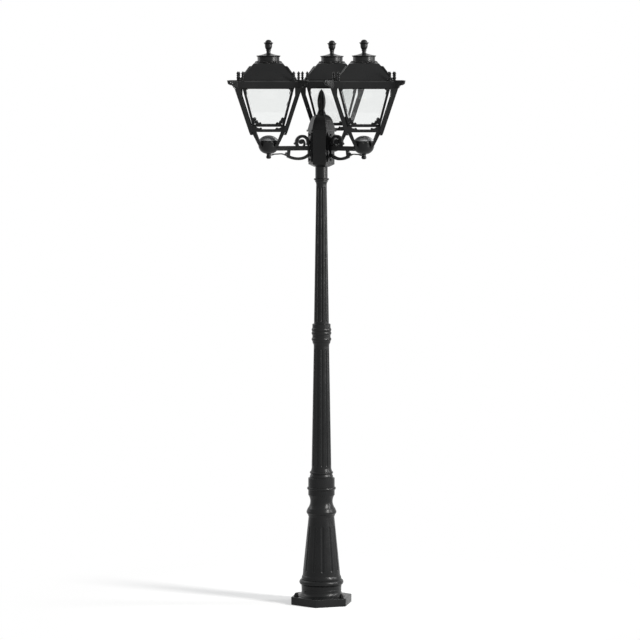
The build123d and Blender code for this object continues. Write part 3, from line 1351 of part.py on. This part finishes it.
def lamp_holder(centre):
    """Round holder with two curved slots for the lamp's pins."""
    with BuildPart() as holder:
        with BuildSketch(level(HOLDER_BOTTOM, centre)):
            Circle(LAMP_RADIUS)
        extrude(amount=HOLDER_HEIGHT)
        for start in (0, 180):
            with BuildSketch(level(HOLDER_BOTTOM, centre)):
                with BuildLine():
                    CenterArc(
                        (0, 0),
                        LAMP_PIN_CIRCLE_RADIUS,
                        start - LAMP_SLOT_MARGIN,
                        LAMP_TWIST + 2 * LAMP_SLOT_MARGIN,
                    )
                trace(line_width=2 * (LAMP_PIN_RADIUS + LAMP_PIN_CLEARANCE))
            extrude(amount=LAMP_SLOT_DEPTH, mode=Mode.SUBTRACT)
    return holder.part


def lamp(centre):
    """Flat lamp with a domed diffuser and two pins."""
    top = HOLDER_BOTTOM - LAMP_GAP
    with BuildPart() as disc:
        add(
            turned(
                [
                    (0, top - LAMP_HEIGHT),
                    (1, top - LAMP_HEIGHT),
                    (
                        (LAMP_RADIUS * 0.6, top - LAMP_HEIGHT + 1),
                        (LAMP_RADIUS - 2, top - LAMP_HEIGHT + 3),
                    ),
                    (LAMP_RADIUS, top - LAMP_HEIGHT + 6),
                    (LAMP_RADIUS, top),
                    (0, top),
                ],
                centre,
            )
        )
        with BuildSketch(level(top, centre)):
            with Locations((LAMP_PIN_CIRCLE_RADIUS, 0), (-LAMP_PIN_CIRCLE_RADIUS, 0)):
                Circle(LAMP_PIN_RADIUS)
        extrude(amount=LAMP_PIN_LENGTH)
    return disc.part


def roof_screw(centre):
    """Thumb screw that holds the roof, with its knob under the eave."""
    spot = (centre[0] + ROOF_SCREW_X, centre[1] + ROOF_SCREW_Y)
    knob_bottom = EAVE_BOTTOM - KNOB_HEIGHT
    return turned(
        [
            (0, knob_bottom),
            (KNOB_RADIUS - 4, knob_bottom),
            ((KNOB_RADIUS - 1.2, knob_bottom + 1.4), (KNOB_RADIUS, EAVE_BOTTOM - KNOB_HEIGHT / 2)),
            (KNOB_RADIUS, EAVE_BOTTOM - RUNNING_CLEARANCE),
            (ROOF_SCREW_RADIUS, EAVE_BOTTOM - RUNNING_CLEARANCE),
            (ROOF_SCREW_RADIUS, EAVE_BOTTOM + ROOF_SCREW_REACH),
            (0, EAVE_BOTTOM + ROOF_SCREW_REACH),
        ],
        spot,
    )


with BuildPart() as arm_screws:
    for angle in ARM_LIST:
        ray = Vector(1, 0, 0).rotate(Axis.Z, angle)
        for height in ARM_SCREW_HEIGHTS:
            seat = ray * (HUB_APOTHEM + ARM_FLANGE_THICKNESS) + Vector(0, 0, height)
            with BuildSketch(Plane(seat, z_dir=ray)):
                Circle(ARM_SCREW_HEAD_RADIUS)
            extrude(amount=ARM_SCREW_HEAD_HEIGHT, taper=15)
            with BuildSketch(Plane(seat, z_dir=ray)):
                Circle(ARM_SCREW_RADIUS)
            extrude(amount=-ARM_FLANGE_THICKNESS - ARM_SCREW_REACH)
            with BuildSketch(Plane(seat + ray * ARM_SCREW_HEAD_HEIGHT, z_dir=ray)):
                RegularPolygon(ARM_SCREW_SOCKET / 2, 6, major_radius=False)
            extrude(amount=-ARM_SCREW_SOCKET_DEPTH, mode=Mode.SUBTRACT)
save(arm_screws.part, "arm_screws")

LANTERN_PIECES = {
    "drop_finial": drop_finial,
    "bowl": bowl,
    "wiring_cover": wiring_cover,
    "cage": cage,
    "glazing_frame": glazing_frame,
    "panes": panes,
    "eave": eave,
    "spikes": spikes,
    "roof": roof,
    "roof_finial": roof_finial,
    "lamp_bracket": lamp_bracket,
    "lamp_holder": lamp_holder,
    "lamp": lamp,
    "roof_screw": roof_screw,
}

for place, direction in ARM_ANGLES.items():
    save(arm(direction), f"arm_{place}")
    for piece_name, make in LANTERN_PIECES.items():
        save(make(lantern_centre(direction)), f"{piece_name}_{place}")
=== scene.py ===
"""Triple head lamp post: materials, fine castings and a soft white studio for the model."""

import json
import math

import bpy
from mathutils import Matrix, Vector


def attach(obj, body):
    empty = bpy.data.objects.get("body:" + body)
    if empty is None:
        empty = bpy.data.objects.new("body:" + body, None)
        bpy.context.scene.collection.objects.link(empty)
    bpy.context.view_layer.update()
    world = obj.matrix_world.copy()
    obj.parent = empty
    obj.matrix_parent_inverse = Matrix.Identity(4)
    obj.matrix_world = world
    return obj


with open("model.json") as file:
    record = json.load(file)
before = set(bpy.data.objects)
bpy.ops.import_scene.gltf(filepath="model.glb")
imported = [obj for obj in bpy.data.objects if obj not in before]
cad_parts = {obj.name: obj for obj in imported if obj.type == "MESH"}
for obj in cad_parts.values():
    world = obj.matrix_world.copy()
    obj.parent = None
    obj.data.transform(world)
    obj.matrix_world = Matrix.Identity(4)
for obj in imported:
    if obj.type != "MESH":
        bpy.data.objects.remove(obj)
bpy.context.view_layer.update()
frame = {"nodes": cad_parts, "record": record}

PLACES = ("left", "right", "rear")
CORNERS = ((1, 1), (-1, 1), (-1, -1), (1, -1))  # a lantern's corners, as (right, back)

# ---------------------------------------------------------------- the photograph's frame
IMAGE_SIZE = 640  # pixels each way
METRES_PER_PIXEL = 0.00425  # on the column's axis
AXIS_PIXEL = 321.45  # where the column's axis stands across the image
GROUND_PIXEL = 604.1  # where the column meets the ground, down the image
CAMERA_DISTANCE = 13.77  # metres, from the column's axis
CAMERA_HEIGHT = 2.258  # metres
CAMERA_REACH = 200  # metres
SENSOR = 36.0  # millimetres
FOCAL_TRIM = 1.006  # brings the picture's scale to the photograph's

# ---------------------------------------------------------------- edges of castings
SOFT_EDGES = {  # widths of the broken edges, in metres
    "base_plate": 0.0016,
    "hub": 0.0012,
    "hub_cap": 0.0016,
    "arm": 0.0013,
    "eave": 0.001,
    "cage": 0.001,
    "roof": 0.0012,
}
EDGE_SEGMENTS = 2
EDGE_ANGLE = 32  # degrees; edges that turn by less stay as they are
WELD_DISTANCE = 0.00002  # metres

# ---------------------------------------------------------------- carvings, in metres and degrees
NECK_HEIGHT = 0.0195  # the plain neck over the roof's shoulder
ROOF_LEAVES = 14  # in each of a roof's two wreaths
ROOF_WREATHS = (
    {"radius": 0.0505, "drop": 0.001, "radii": (0.0062, 0.0092, 0.0042), "lean": 24, "start": 0.0},
    {
        "radius": 0.0575,
        "drop": 0.0065,
        "radii": (0.0055, 0.0075, 0.0032),
        "lean": 40,
        "start": 180 / ROOF_LEAVES,  # half a step on, so the leaves alternate
    },
)
BOWL_LEAVES = 12
BOWL_WREATH = {
    "radius": 0.0425,
    "drop": 0.0075,
    "radii": (0.0028, 0.0085, 0.0072),
    "lean": 8,
    "start": 15,
}
SPIKE_RADIUS = 0.0052
SPIKE_STEP = 0.0204  # between a corner's two spikes, along the eave
SPIKE_BEADS = ((0.28, 0.006), (0.52, 0.0056), (0.74, 0.006))  # (share of height, radius)
BEAD_FLATNESS = 0.62  # a bead's half height over its radius
EAR_RIDGE = 0.0011  # radius of the raised lines on an ear
SPIRAL_DEPTH = 0.0068  # of a spiral's line, from the ear's middle plane
VEIN_DEPTH = 0.0044  # of a vein's line, from the same plane
SPIRAL_STEPS = 28  # points to a turn
SPIRAL_CLOSING = 0.86  # share of its radius that a spiral winds in
VEIN_STEPS = 10

# ---------------------------------------------------------------- studio, in metres and watts
FLOOR_HALF = 40.0
FLOOR_COLOUR = (0.93, 0.93, 0.93, 1)
FLOOR_ROUGHNESS = 0.9
FLOOR_PLAIN_RADIUS = 0.55  # the floor shows shadows within this distance of the post
FLOOR_WHITE_RADIUS = 1.45  # and is plain white beyond this one
FLOOR_LIFT = 0.5  # share of plain white in the floor near the post
WHITE = (1, 1, 1, 1)
WORLD_COLOUR = (0.96, 0.98, 1, 1)
WORLD_STRENGTH = 0.3
LAMP_AIM = (0, 0, 1.2)
SOFTBOXES = (  # name, azimuth in degrees, height, distance, (width, length), power, colour
    ("key", 58, 3.0, 4.2, (0.7, 3.2), 400, (1, 0.99, 0.97)),
    ("edge", 90, 2.6, 4.6, (0.9, 3.4), 150, (1, 1, 1)),
    ("back", 240, 3.4, 4.6, (1.6, 3.4), 45, (0.97, 0.98, 1)),
)

# ---------------------------------------------------------------- node helpers
NOISE_SPAN = (0.3, 0.7)  # where most of a noise's values lie


def new_material(name):
    """A material with a Principled shader, as (material, node tree, shader)."""
    material = bpy.data.materials.new(name)
    material.use_nodes = True
    tree = material.node_tree
    return material, tree, tree.nodes["Principled BSDF"]


def link(tree, source, target):
    """Join two sockets."""
    tree.links.new(source, target)


def noise(tree, scale, detail=4.0, roughness=0.55, stretch=(1, 1, 1)):
    """Noise in object space, in features per metre."""
    place = tree.nodes.new("ShaderNodeTexCoord")
    mapping = tree.nodes.new("ShaderNodeMapping")
    mapping.inputs["Scale"].default_value = stretch
    texture = tree.nodes.new("ShaderNodeTexNoise")
    texture.inputs["Scale"].default_value = scale
    texture.inputs["Detail"].default_value = detail
    texture.inputs["Roughness"].default_value = roughness
    link(tree, place.outputs["Object"], mapping.inputs["Vector"])
    link(tree, mapping.outputs["Vector"], texture.inputs["Vector"])
    return texture.outputs["Fac"]


def ramp(tree, factor, first, last, span=NOISE_SPAN):
    """A colour that goes from one to another over a stretch of a factor."""
    node = tree.nodes.new("ShaderNodeValToRGB")
    for element, position, colour in zip(node.color_ramp.elements, span, (first, last)):
        element.position = position
        element.color = (*colour, 1)
    link(tree, factor, node.inputs["Fac"])
    return node.outputs["Color"]


def spread(tree, factor, low, high):
    """A noise's usual values remapped to a range."""
    node = tree.nodes.new("ShaderNodeMapRange")
    node.inputs["From Min"].default_value, node.inputs["From Max"].default_value = NOISE_SPAN
    node.inputs["To Min"].default_value = low
    node.inputs["To Max"].default_value = high
    link(tree, factor, node.inputs["Value"])
    return node.outputs["Result"]


def bump(tree, shader, layers):
    """Stacked bumps, each (height socket, distance in metres, strength)."""
    normal = None
    for height, distance, strength in layers:
        node = tree.nodes.new("ShaderNodeBump")
        node.inputs["Distance"].default_value = distance
        node.inputs["Strength"].default_value = strength
        link(tree, height, node.inputs["Height"])
        if normal is not None:
            link(tree, normal, node.inputs["Normal"])
        normal = node.outputs["Normal"]
    link(tree, normal, shader.inputs["Normal"])


# ---------------------------------------------------------------- materials
def coated_metal(name, deep, light, roughness, grain):
    """Black paint on cast metal: cloudy tone, orange-peel and a fine cast grain."""
    material, tree, shader = new_material(name)
    clouds = noise(tree, 9, detail=5, roughness=0.6)
    peel = noise(tree, 420, detail=3, roughness=0.5)
    fine = noise(tree, 1500, detail=2, roughness=0.5)
    link(tree, ramp(tree, clouds, deep, light, span=(0.35, 0.7)), shader.inputs["Base Color"])
    patches = noise(tree, 26, detail=5, roughness=0.65)
    link(
        tree,
        spread(tree, patches, roughness - 0.05, roughness + 0.06),
        shader.inputs["Roughness"],
    )
    shader.inputs["Specular IOR Level"].default_value = 0.16
    bump(tree, shader, [(peel, 0.0004, grain), (fine, 0.00012, grain)])
    return material


def zinc():
    """Zinc-plated steel with a faint grain."""
    material, tree, shader = new_material("zinc_plate")
    cloud = noise(tree, 60, detail=4, roughness=0.6, stretch=(1, 1, 0.3))
    tone = ramp(tree, cloud, (0.42, 0.43, 0.44), (0.6, 0.61, 0.62))
    link(tree, tone, shader.inputs["Base Color"])
    shader.inputs["Metallic"].default_value = 1.0
    link(tree, spread(tree, noise(tree, 300, detail=3), 0.28, 0.42), shader.inputs["Roughness"])
    bump(tree, shader, [(noise(tree, 900, detail=2), 0.0002, 0.3)])
    return material


def glass():
    """Clear glass with a trace of unevenness."""
    material, tree, shader = new_material("pane_glass")
    wipe = noise(tree, 7, detail=3, roughness=0.5)
    tone = ramp(tree, wipe, (0.925, 0.935, 0.93), (0.95, 0.957, 0.954))
    link(tree, tone, shader.inputs["Base Color"])
    shader.inputs["Transmission Weight"].default_value = 1.0
    shader.inputs["IOR"].default_value = 1.45
    link(tree, spread(tree, noise(tree, 30, detail=4), 0.0, 0.02), shader.inputs["Roughness"])
    bump(tree, shader, [(noise(tree, 12, detail=2), 0.0002, 0.15)])
    return material


def moulded(name, first, second, roughness, scale=700):
    """Moulded plastic, or plain paint, with a fine texture."""
    material, tree, shader = new_material(name)
    tone = ramp(tree, noise(tree, 18, detail=4), first, second)
    link(tree, tone, shader.inputs["Base Color"])
    patches = noise(tree, 50, detail=3)
    link(
        tree,
        spread(tree, patches, roughness - 0.04, roughness + 0.05),
        shader.inputs["Roughness"],
    )
    bump(tree, shader, [(noise(tree, scale, detail=2), 0.0002, 0.35)])
    return material


def opal():
    """Opal diffuser: pale, smooth and slightly translucent."""
    material, tree, shader = new_material("opal_diffuser")
    tone = ramp(tree, noise(tree, 14, detail=3), (0.8, 0.79, 0.76), (0.86, 0.85, 0.82))
    link(tree, tone, shader.inputs["Base Color"])
    shader.inputs["Subsurface Weight"].default_value = 0.15
    shader.inputs["Subsurface Scale"].default_value = 0.01
    link(tree, spread(tree, noise(tree, 80, detail=3), 0.3, 0.4), shader.inputs["Roughness"])
    bump(tree, shader, [(noise(tree, 500, detail=2), 0.0001, 0.2)])
    return material


MATERIALS = {  # by the record's material slots
    "black_metal": coated_metal(
        "black_coat", (0.0055, 0.0058, 0.006), (0.009, 0.0092, 0.0094), 0.29, 0.35
    ),
    "black_fasteners": coated_metal(
        "black_gloss", (0.007, 0.007, 0.007), (0.01, 0.01, 0.01), 0.28, 0.15
    ),
    "zinc_steel": zinc(),
    "clear_glass": glass(),
    "lamp_white": opal(),
    "holder_white": moulded("holder_plastic", (0.62, 0.61, 0.57), (0.7, 0.69, 0.65), 0.45),
    # the cover's grey is painted lighter than its own paint colour: painted light that makes up
    # for the dim light it gets inside the lantern's shade
    "cover_grey": moulded("grey_paint_with_painted_light", (0.25, 0.255, 0.26), (0.3, 0.305, 0.31), 0.4, 400),
    "terminal_plastic": moulded("terminal_plastic", (0.55, 0.5, 0.4), (0.62, 0.58, 0.47), 0.5),
}


def soften(piece, width):
    """Join a casting's facets and round its edges by a hair, so that they catch the light."""
    weld = piece.modifiers.new("weld", "WELD")
    weld.merge_threshold = WELD_DISTANCE
    bevel = piece.modifiers.new("edge", "BEVEL")
    bevel.width = width
    bevel.segments = EDGE_SEGMENTS
    bevel.limit_method = "ANGLE"
    bevel.angle_limit = math.radians(EDGE_ANGLE)


def dress_nodes():
    """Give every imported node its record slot's material, and break the castings' edges."""
    slots = {row["node"]: row["material_slot"] for row in frame["record"]["subparts"]}
    for name, piece in frame["nodes"].items():
        material = MATERIALS[slots[name]]
        if not piece.material_slots:
            piece.data.materials.append(material)
        for slot in piece.material_slots:
            slot.material = material
        width = SOFT_EDGES.get(name) or SOFT_EDGES.get(name.rsplit("_", 1)[0])
        if width:
            soften(piece, width)


# ---------------------------------------------------------------- new pieces
def shown_box(name):
    """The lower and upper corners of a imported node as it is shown, with its edges broken."""
    piece = frame["nodes"][name]
    points = [piece.matrix_world @ Vector(corner) for corner in piece.bound_box]
    low = Vector([min(point[axis] for point in points) for axis in range(3)])
    high = Vector([max(point[axis] for point in points) for axis in range(3)])
    return low, high


def add_object(name, data):
    """A new object in the scene."""
    thing = bpy.data.objects.new(name, data)
    bpy.context.scene.collection.objects.link(thing)
    return thing


def add_mesh(name, points, faces, slot, body):
    """A smooth mesh in a slot's material that rides a body."""
    mesh = bpy.data.meshes.new(name)
    mesh.from_pydata(points, [], faces)
    mesh.shade_smooth()
    mesh.materials.append(MATERIALS[slot])
    piece = add_object(name, mesh)
    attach(piece, body)


def lump(points, faces, turn, radii, around=16, rings=9):
    """Append an ellipsoid with the given radii, placed and turned by a matrix."""
    start = len(points)
    for ring in range(rings + 1):
        rise = math.pi * ring / rings
        for step in range(around):
            angle = 2 * math.pi * step / around
            x = radii[0] * math.sin(rise) * math.cos(angle)
            y = radii[1] * math.sin(rise) * math.sin(angle)
            z = radii[2] * math.cos(rise)
            points.append(turn @ Vector((x, y, z)))
    for ring in range(rings):
        upper = start + ring * around
        lower = start + (ring + 1) * around
        for step in range(around):
            after = (step + 1) % around
            faces.append((upper + step, lower + step, lower + after, upper + after))


def wreath(points, faces, centre, top, count, radius, drop, radii, lean, start):
    """Append lumps in a circle round an upright axis, below a height, each leaning outward."""
    for index in range(count):
        angle = math.radians(start) + 2 * math.pi * index / count
        turn = (
            Matrix.Translation((centre[0], centre[1], top - drop))
            @ Matrix.Rotation(angle, 4, "Z")
            @ Matrix.Translation((radius, 0, 0))
            @ Matrix.Rotation(math.radians(lean), 4, "Y")
        )
        lump(points, faces, turn, radii)


def add_roof_leaves(place):
    """Two wreaths of small leaves on the roof's shoulder, under its neck."""
    low, high = shown_box("roof_finial_" + place)
    centre = (low + high) / 2
    shoulder = shown_box("roof_" + place)[1].z - NECK_HEIGHT
    points, faces = [], []
    for sizes in ROOF_WREATHS:
        wreath(points, faces, centre, shoulder, ROOF_LEAVES, **sizes)
    add_mesh("roof_leaves_" + place, points, faces, "black_fasteners", "roof_body_" + place)


def add_bowl_leaves(place):
    """Lobed leaf tips round the bowl's rim."""
    low, high = shown_box("wiring_cover_" + place)
    centre = (low + high) / 2
    points, faces = [], []
    wreath(points, faces, centre, low.z, BOWL_LEAVES, **BOWL_WREATH)
    add_mesh("bowl_leaves_" + place, points, faces, "black_metal", "post")


def add_spike_beads(place):
    """Beads on the spikes at the eave's corners."""
    low, high = shown_box("spikes_" + place)
    centre = (low + high) / 2
    outer = (high.x - low.x) / 2 - SPIKE_RADIUS
    inner = outer - SPIKE_STEP
    height = high.z - low.z
    points, faces = [], []
    for right, back in CORNERS:
        for x, y in ((outer, inner), (inner, outer)):
            for rise, radius in SPIKE_BEADS:
                spot = (centre.x + right * x, centre.y + back * y, low.z + rise * height)
                radii = (radius, radius, radius * BEAD_FLATNESS)
                lump(points, faces, Matrix.Translation(spot), radii, around=14, rings=8)
    add_mesh("spike_beads_" + place, points, faces, "black_metal", "post")


def spiral(inward, drop, radius, turns, start):
    """Points of a flat spiral about a place on an ear, from outside in."""
    steps = int(SPIRAL_STEPS * turns)
    points = []
    for step in range(steps + 1):
        share = step / steps
        reach = radius * (1 - SPIRAL_CLOSING * share)
        angle = start + 2 * math.pi * turns * share
        points.append((inward + reach * math.cos(angle), drop + reach * math.sin(angle)))
    return points


def vein(first, middle, last):
    """Points of a vein on an ear, from one place to another and bent towards a third."""
    points = []
    for step in range(VEIN_STEPS + 1):
        t = step / VEIN_STEPS
        points.append(
            tuple(
                (1 - t) ** 2 * a + 2 * t * (1 - t) * b + t**2 * c
                for a, b, c in zip(first, middle, last)
            )
        )
    return points


EAR_PATHS = (  # (points, each inward from the ear's tip and down from its top; depth)
    (spiral(0.016, 0.010, 0.0068, 1.6, 0.4), SPIRAL_DEPTH),
    (vein((0.026, 0.007), (0.034, 0.006), (0.048, 0.0065)), VEIN_DEPTH),
    (vein((0.025, 0.012), (0.036, 0.0115), (0.047, 0.014)), VEIN_DEPTH),
    (vein((0.026, 0.016), (0.036, 0.0175), (0.044, 0.0215)), VEIN_DEPTH),
)


def add_ear_carving(place):
    """Raised spirals and leaf veins on both faces of the eave's ears."""
    low, high = shown_box("eave_" + place)
    centre = (low + high) / 2
    tip = (high.x - low.x) / 2 * 2**0.5  # half the eave's diagonal
    curve = bpy.data.curves.new("ear_carving_" + place, "CURVE")
    curve.dimensions = "3D"
    curve.bevel_depth = EAR_RIDGE
    curve.bevel_resolution = 3
    curve.materials.append(MATERIALS["black_fasteners"])
    for right, back in CORNERS:
        ray = Vector((right, back, 0)).normalized()
        across = Vector((-back, right, 0)).normalized()
        for side in (-1, 1):
            for path, depth in EAR_PATHS:
                spline = curve.splines.new("POLY")
                spline.points.add(len(path) - 1)
                for point, (inward, drop) in zip(spline.points, path):
                    spot = centre + ray * (tip - inward) + across * side * depth
                    point.co = (spot.x, spot.y, high.z - drop, 1)
    piece = add_object("ear_carving_" + place, curve)
    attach(piece, "post")


# ---------------------------------------------------------------- camera
def look_at(place, target):
    """A camera's or lamp's turn that points its -Z from one place to another."""
    return (Vector(target) - Vector(place)).to_track_quat("-Z", "Y").to_matrix().to_4x4()


def add_camera():
    """The photograph's view: far off, at the height of the roofs, looking slightly down."""
    shift_x = (IMAGE_SIZE / 2 - AXIS_PIXEL) * METRES_PER_PIXEL
    middle = (GROUND_PIXEL - IMAGE_SIZE / 2) * METRES_PER_PIXEL
    place = Vector((shift_x, -CAMERA_DISTANCE, CAMERA_HEIGHT))
    target = Vector((shift_x, 0, middle))
    data = bpy.data.cameras.new("photo_camera")
    data.sensor_width = SENSOR
    picture_width = IMAGE_SIZE * METRES_PER_PIXEL
    data.lens = SENSOR * (target - place).length / picture_width * FOCAL_TRIM
    data.clip_end = CAMERA_REACH
    camera = add_object("photo_camera", data)
    camera.matrix_world = Matrix.Translation(place) @ look_at(place, target)
    bpy.context.scene.camera = camera


# ---------------------------------------------------------------- studio
def larger(tree, first, second):
    """The larger of two factors."""
    node = tree.nodes.new("ShaderNodeMath")
    node.operation = "MAXIMUM"
    link(tree, first, node.inputs[0])
    link(tree, second, node.inputs[1])
    return node.outputs[0]


def background_ray(tree):
    """1 for the rays that see the background: the camera's, and those of gloss and glass."""
    rays = tree.nodes.new("ShaderNodeLightPath").outputs
    seen = larger(tree, rays["Is Camera Ray"], rays["Is Transmission Ray"])
    return larger(tree, seen, rays["Is Glossy Ray"])


def mix_shaders(tree, first, second):
    """A mix of two shaders, as a node whose factor is still to be set."""
    node = tree.nodes.new("ShaderNodeMixShader")
    link(tree, first, node.inputs[1])
    link(tree, second, node.inputs[2])
    return node


def add_world():
    """White to the camera, softer as a light."""
    world = bpy.data.worlds.new("studio")
    world.use_nodes = True
    tree = world.node_tree
    tree.nodes.clear()
    out = tree.nodes.new("ShaderNodeOutputWorld")
    shown = tree.nodes.new("ShaderNodeBackground")
    shown.inputs["Color"].default_value = WHITE
    light = tree.nodes.new("ShaderNodeBackground")
    light.inputs["Color"].default_value = WORLD_COLOUR
    light.inputs["Strength"].default_value = WORLD_STRENGTH
    mix = mix_shaders(tree, light.outputs[0], shown.outputs[0])
    link(tree, background_ray(tree), mix.inputs["Fac"])
    link(tree, mix.outputs[0], out.inputs["Surface"])
    bpy.context.scene.world = world
    bpy.context.scene.view_settings.view_transform = "Standard"


def floor_material():
    """Pale floor near the post that turns into the plain white of the background."""
    material, tree, shader = new_material("studio_floor")
    shader.inputs["Base Color"].default_value = FLOOR_COLOUR
    shader.inputs["Roughness"].default_value = FLOOR_ROUGHNESS
    shader.inputs["Specular IOR Level"].default_value = 0.0
    glow = tree.nodes.new("ShaderNodeEmission")
    glow.inputs["Color"].default_value = WHITE
    place = tree.nodes.new("ShaderNodeTexCoord")
    length = tree.nodes.new("ShaderNodeVectorMath")
    length.operation = "LENGTH"
    fade = tree.nodes.new("ShaderNodeMapRange")
    fade.interpolation_type = "SMOOTHSTEP"
    fade.inputs["From Min"].default_value = FLOOR_PLAIN_RADIUS
    fade.inputs["From Max"].default_value = FLOOR_WHITE_RADIUS
    link(tree, place.outputs["Object"], length.inputs[0])
    link(tree, length.outputs["Value"], fade.inputs["Value"])
    lift = mix_shaders(tree, shader.outputs[0], glow.outputs[0])
    lift.inputs["Fac"].default_value = FLOOR_LIFT
    mix = mix_shaders(tree, lift.outputs[0], glow.outputs[0])
    link(tree, fade.outputs["Result"], mix.inputs["Fac"])
    link(tree, mix.outputs[0], tree.nodes["Material Output"].inputs["Surface"])
    return material


def add_floor():
    """A wide floor at the ground."""
    mesh = bpy.data.meshes.new("floor")
    half = FLOOR_HALF
    corners = [(-half, -half, 0), (half, -half, 0), (half, half, 0), (-half, half, 0)]
    mesh.from_pydata(corners, [], [(0, 1, 2, 3)])
    mesh.materials.append(floor_material())
    floor = add_object("floor", mesh)


def add_softbox(name, azimuth, height, distance, size, power, colour):
    """A rectangular lamp that looks at the post's middle; azimuth 0 is the camera's side."""
    angle = math.radians(azimuth)
    place = Vector((distance * math.sin(angle), -distance * math.cos(angle), height))
    data = bpy.data.lights.new(name, "AREA")
    data.shape = "RECTANGLE"
    data.size, data.size_y = size
    data.energy = power
    data.color = colour
    lamp = add_object(name, data)
    lamp.matrix_world = Matrix.Translation(place) @ look_at(place, LAMP_AIM)


# ---------------------------------------------------------------- the scene
dress_nodes()
for lantern in PLACES:
    add_roof_leaves(lantern)
    add_bowl_leaves(lantern)
    add_spike_beads(lantern)
    add_ear_carving(lantern)
add_camera()
add_world()
add_floor()
for softbox in SOFTBOXES:
    add_softbox(*softbox)
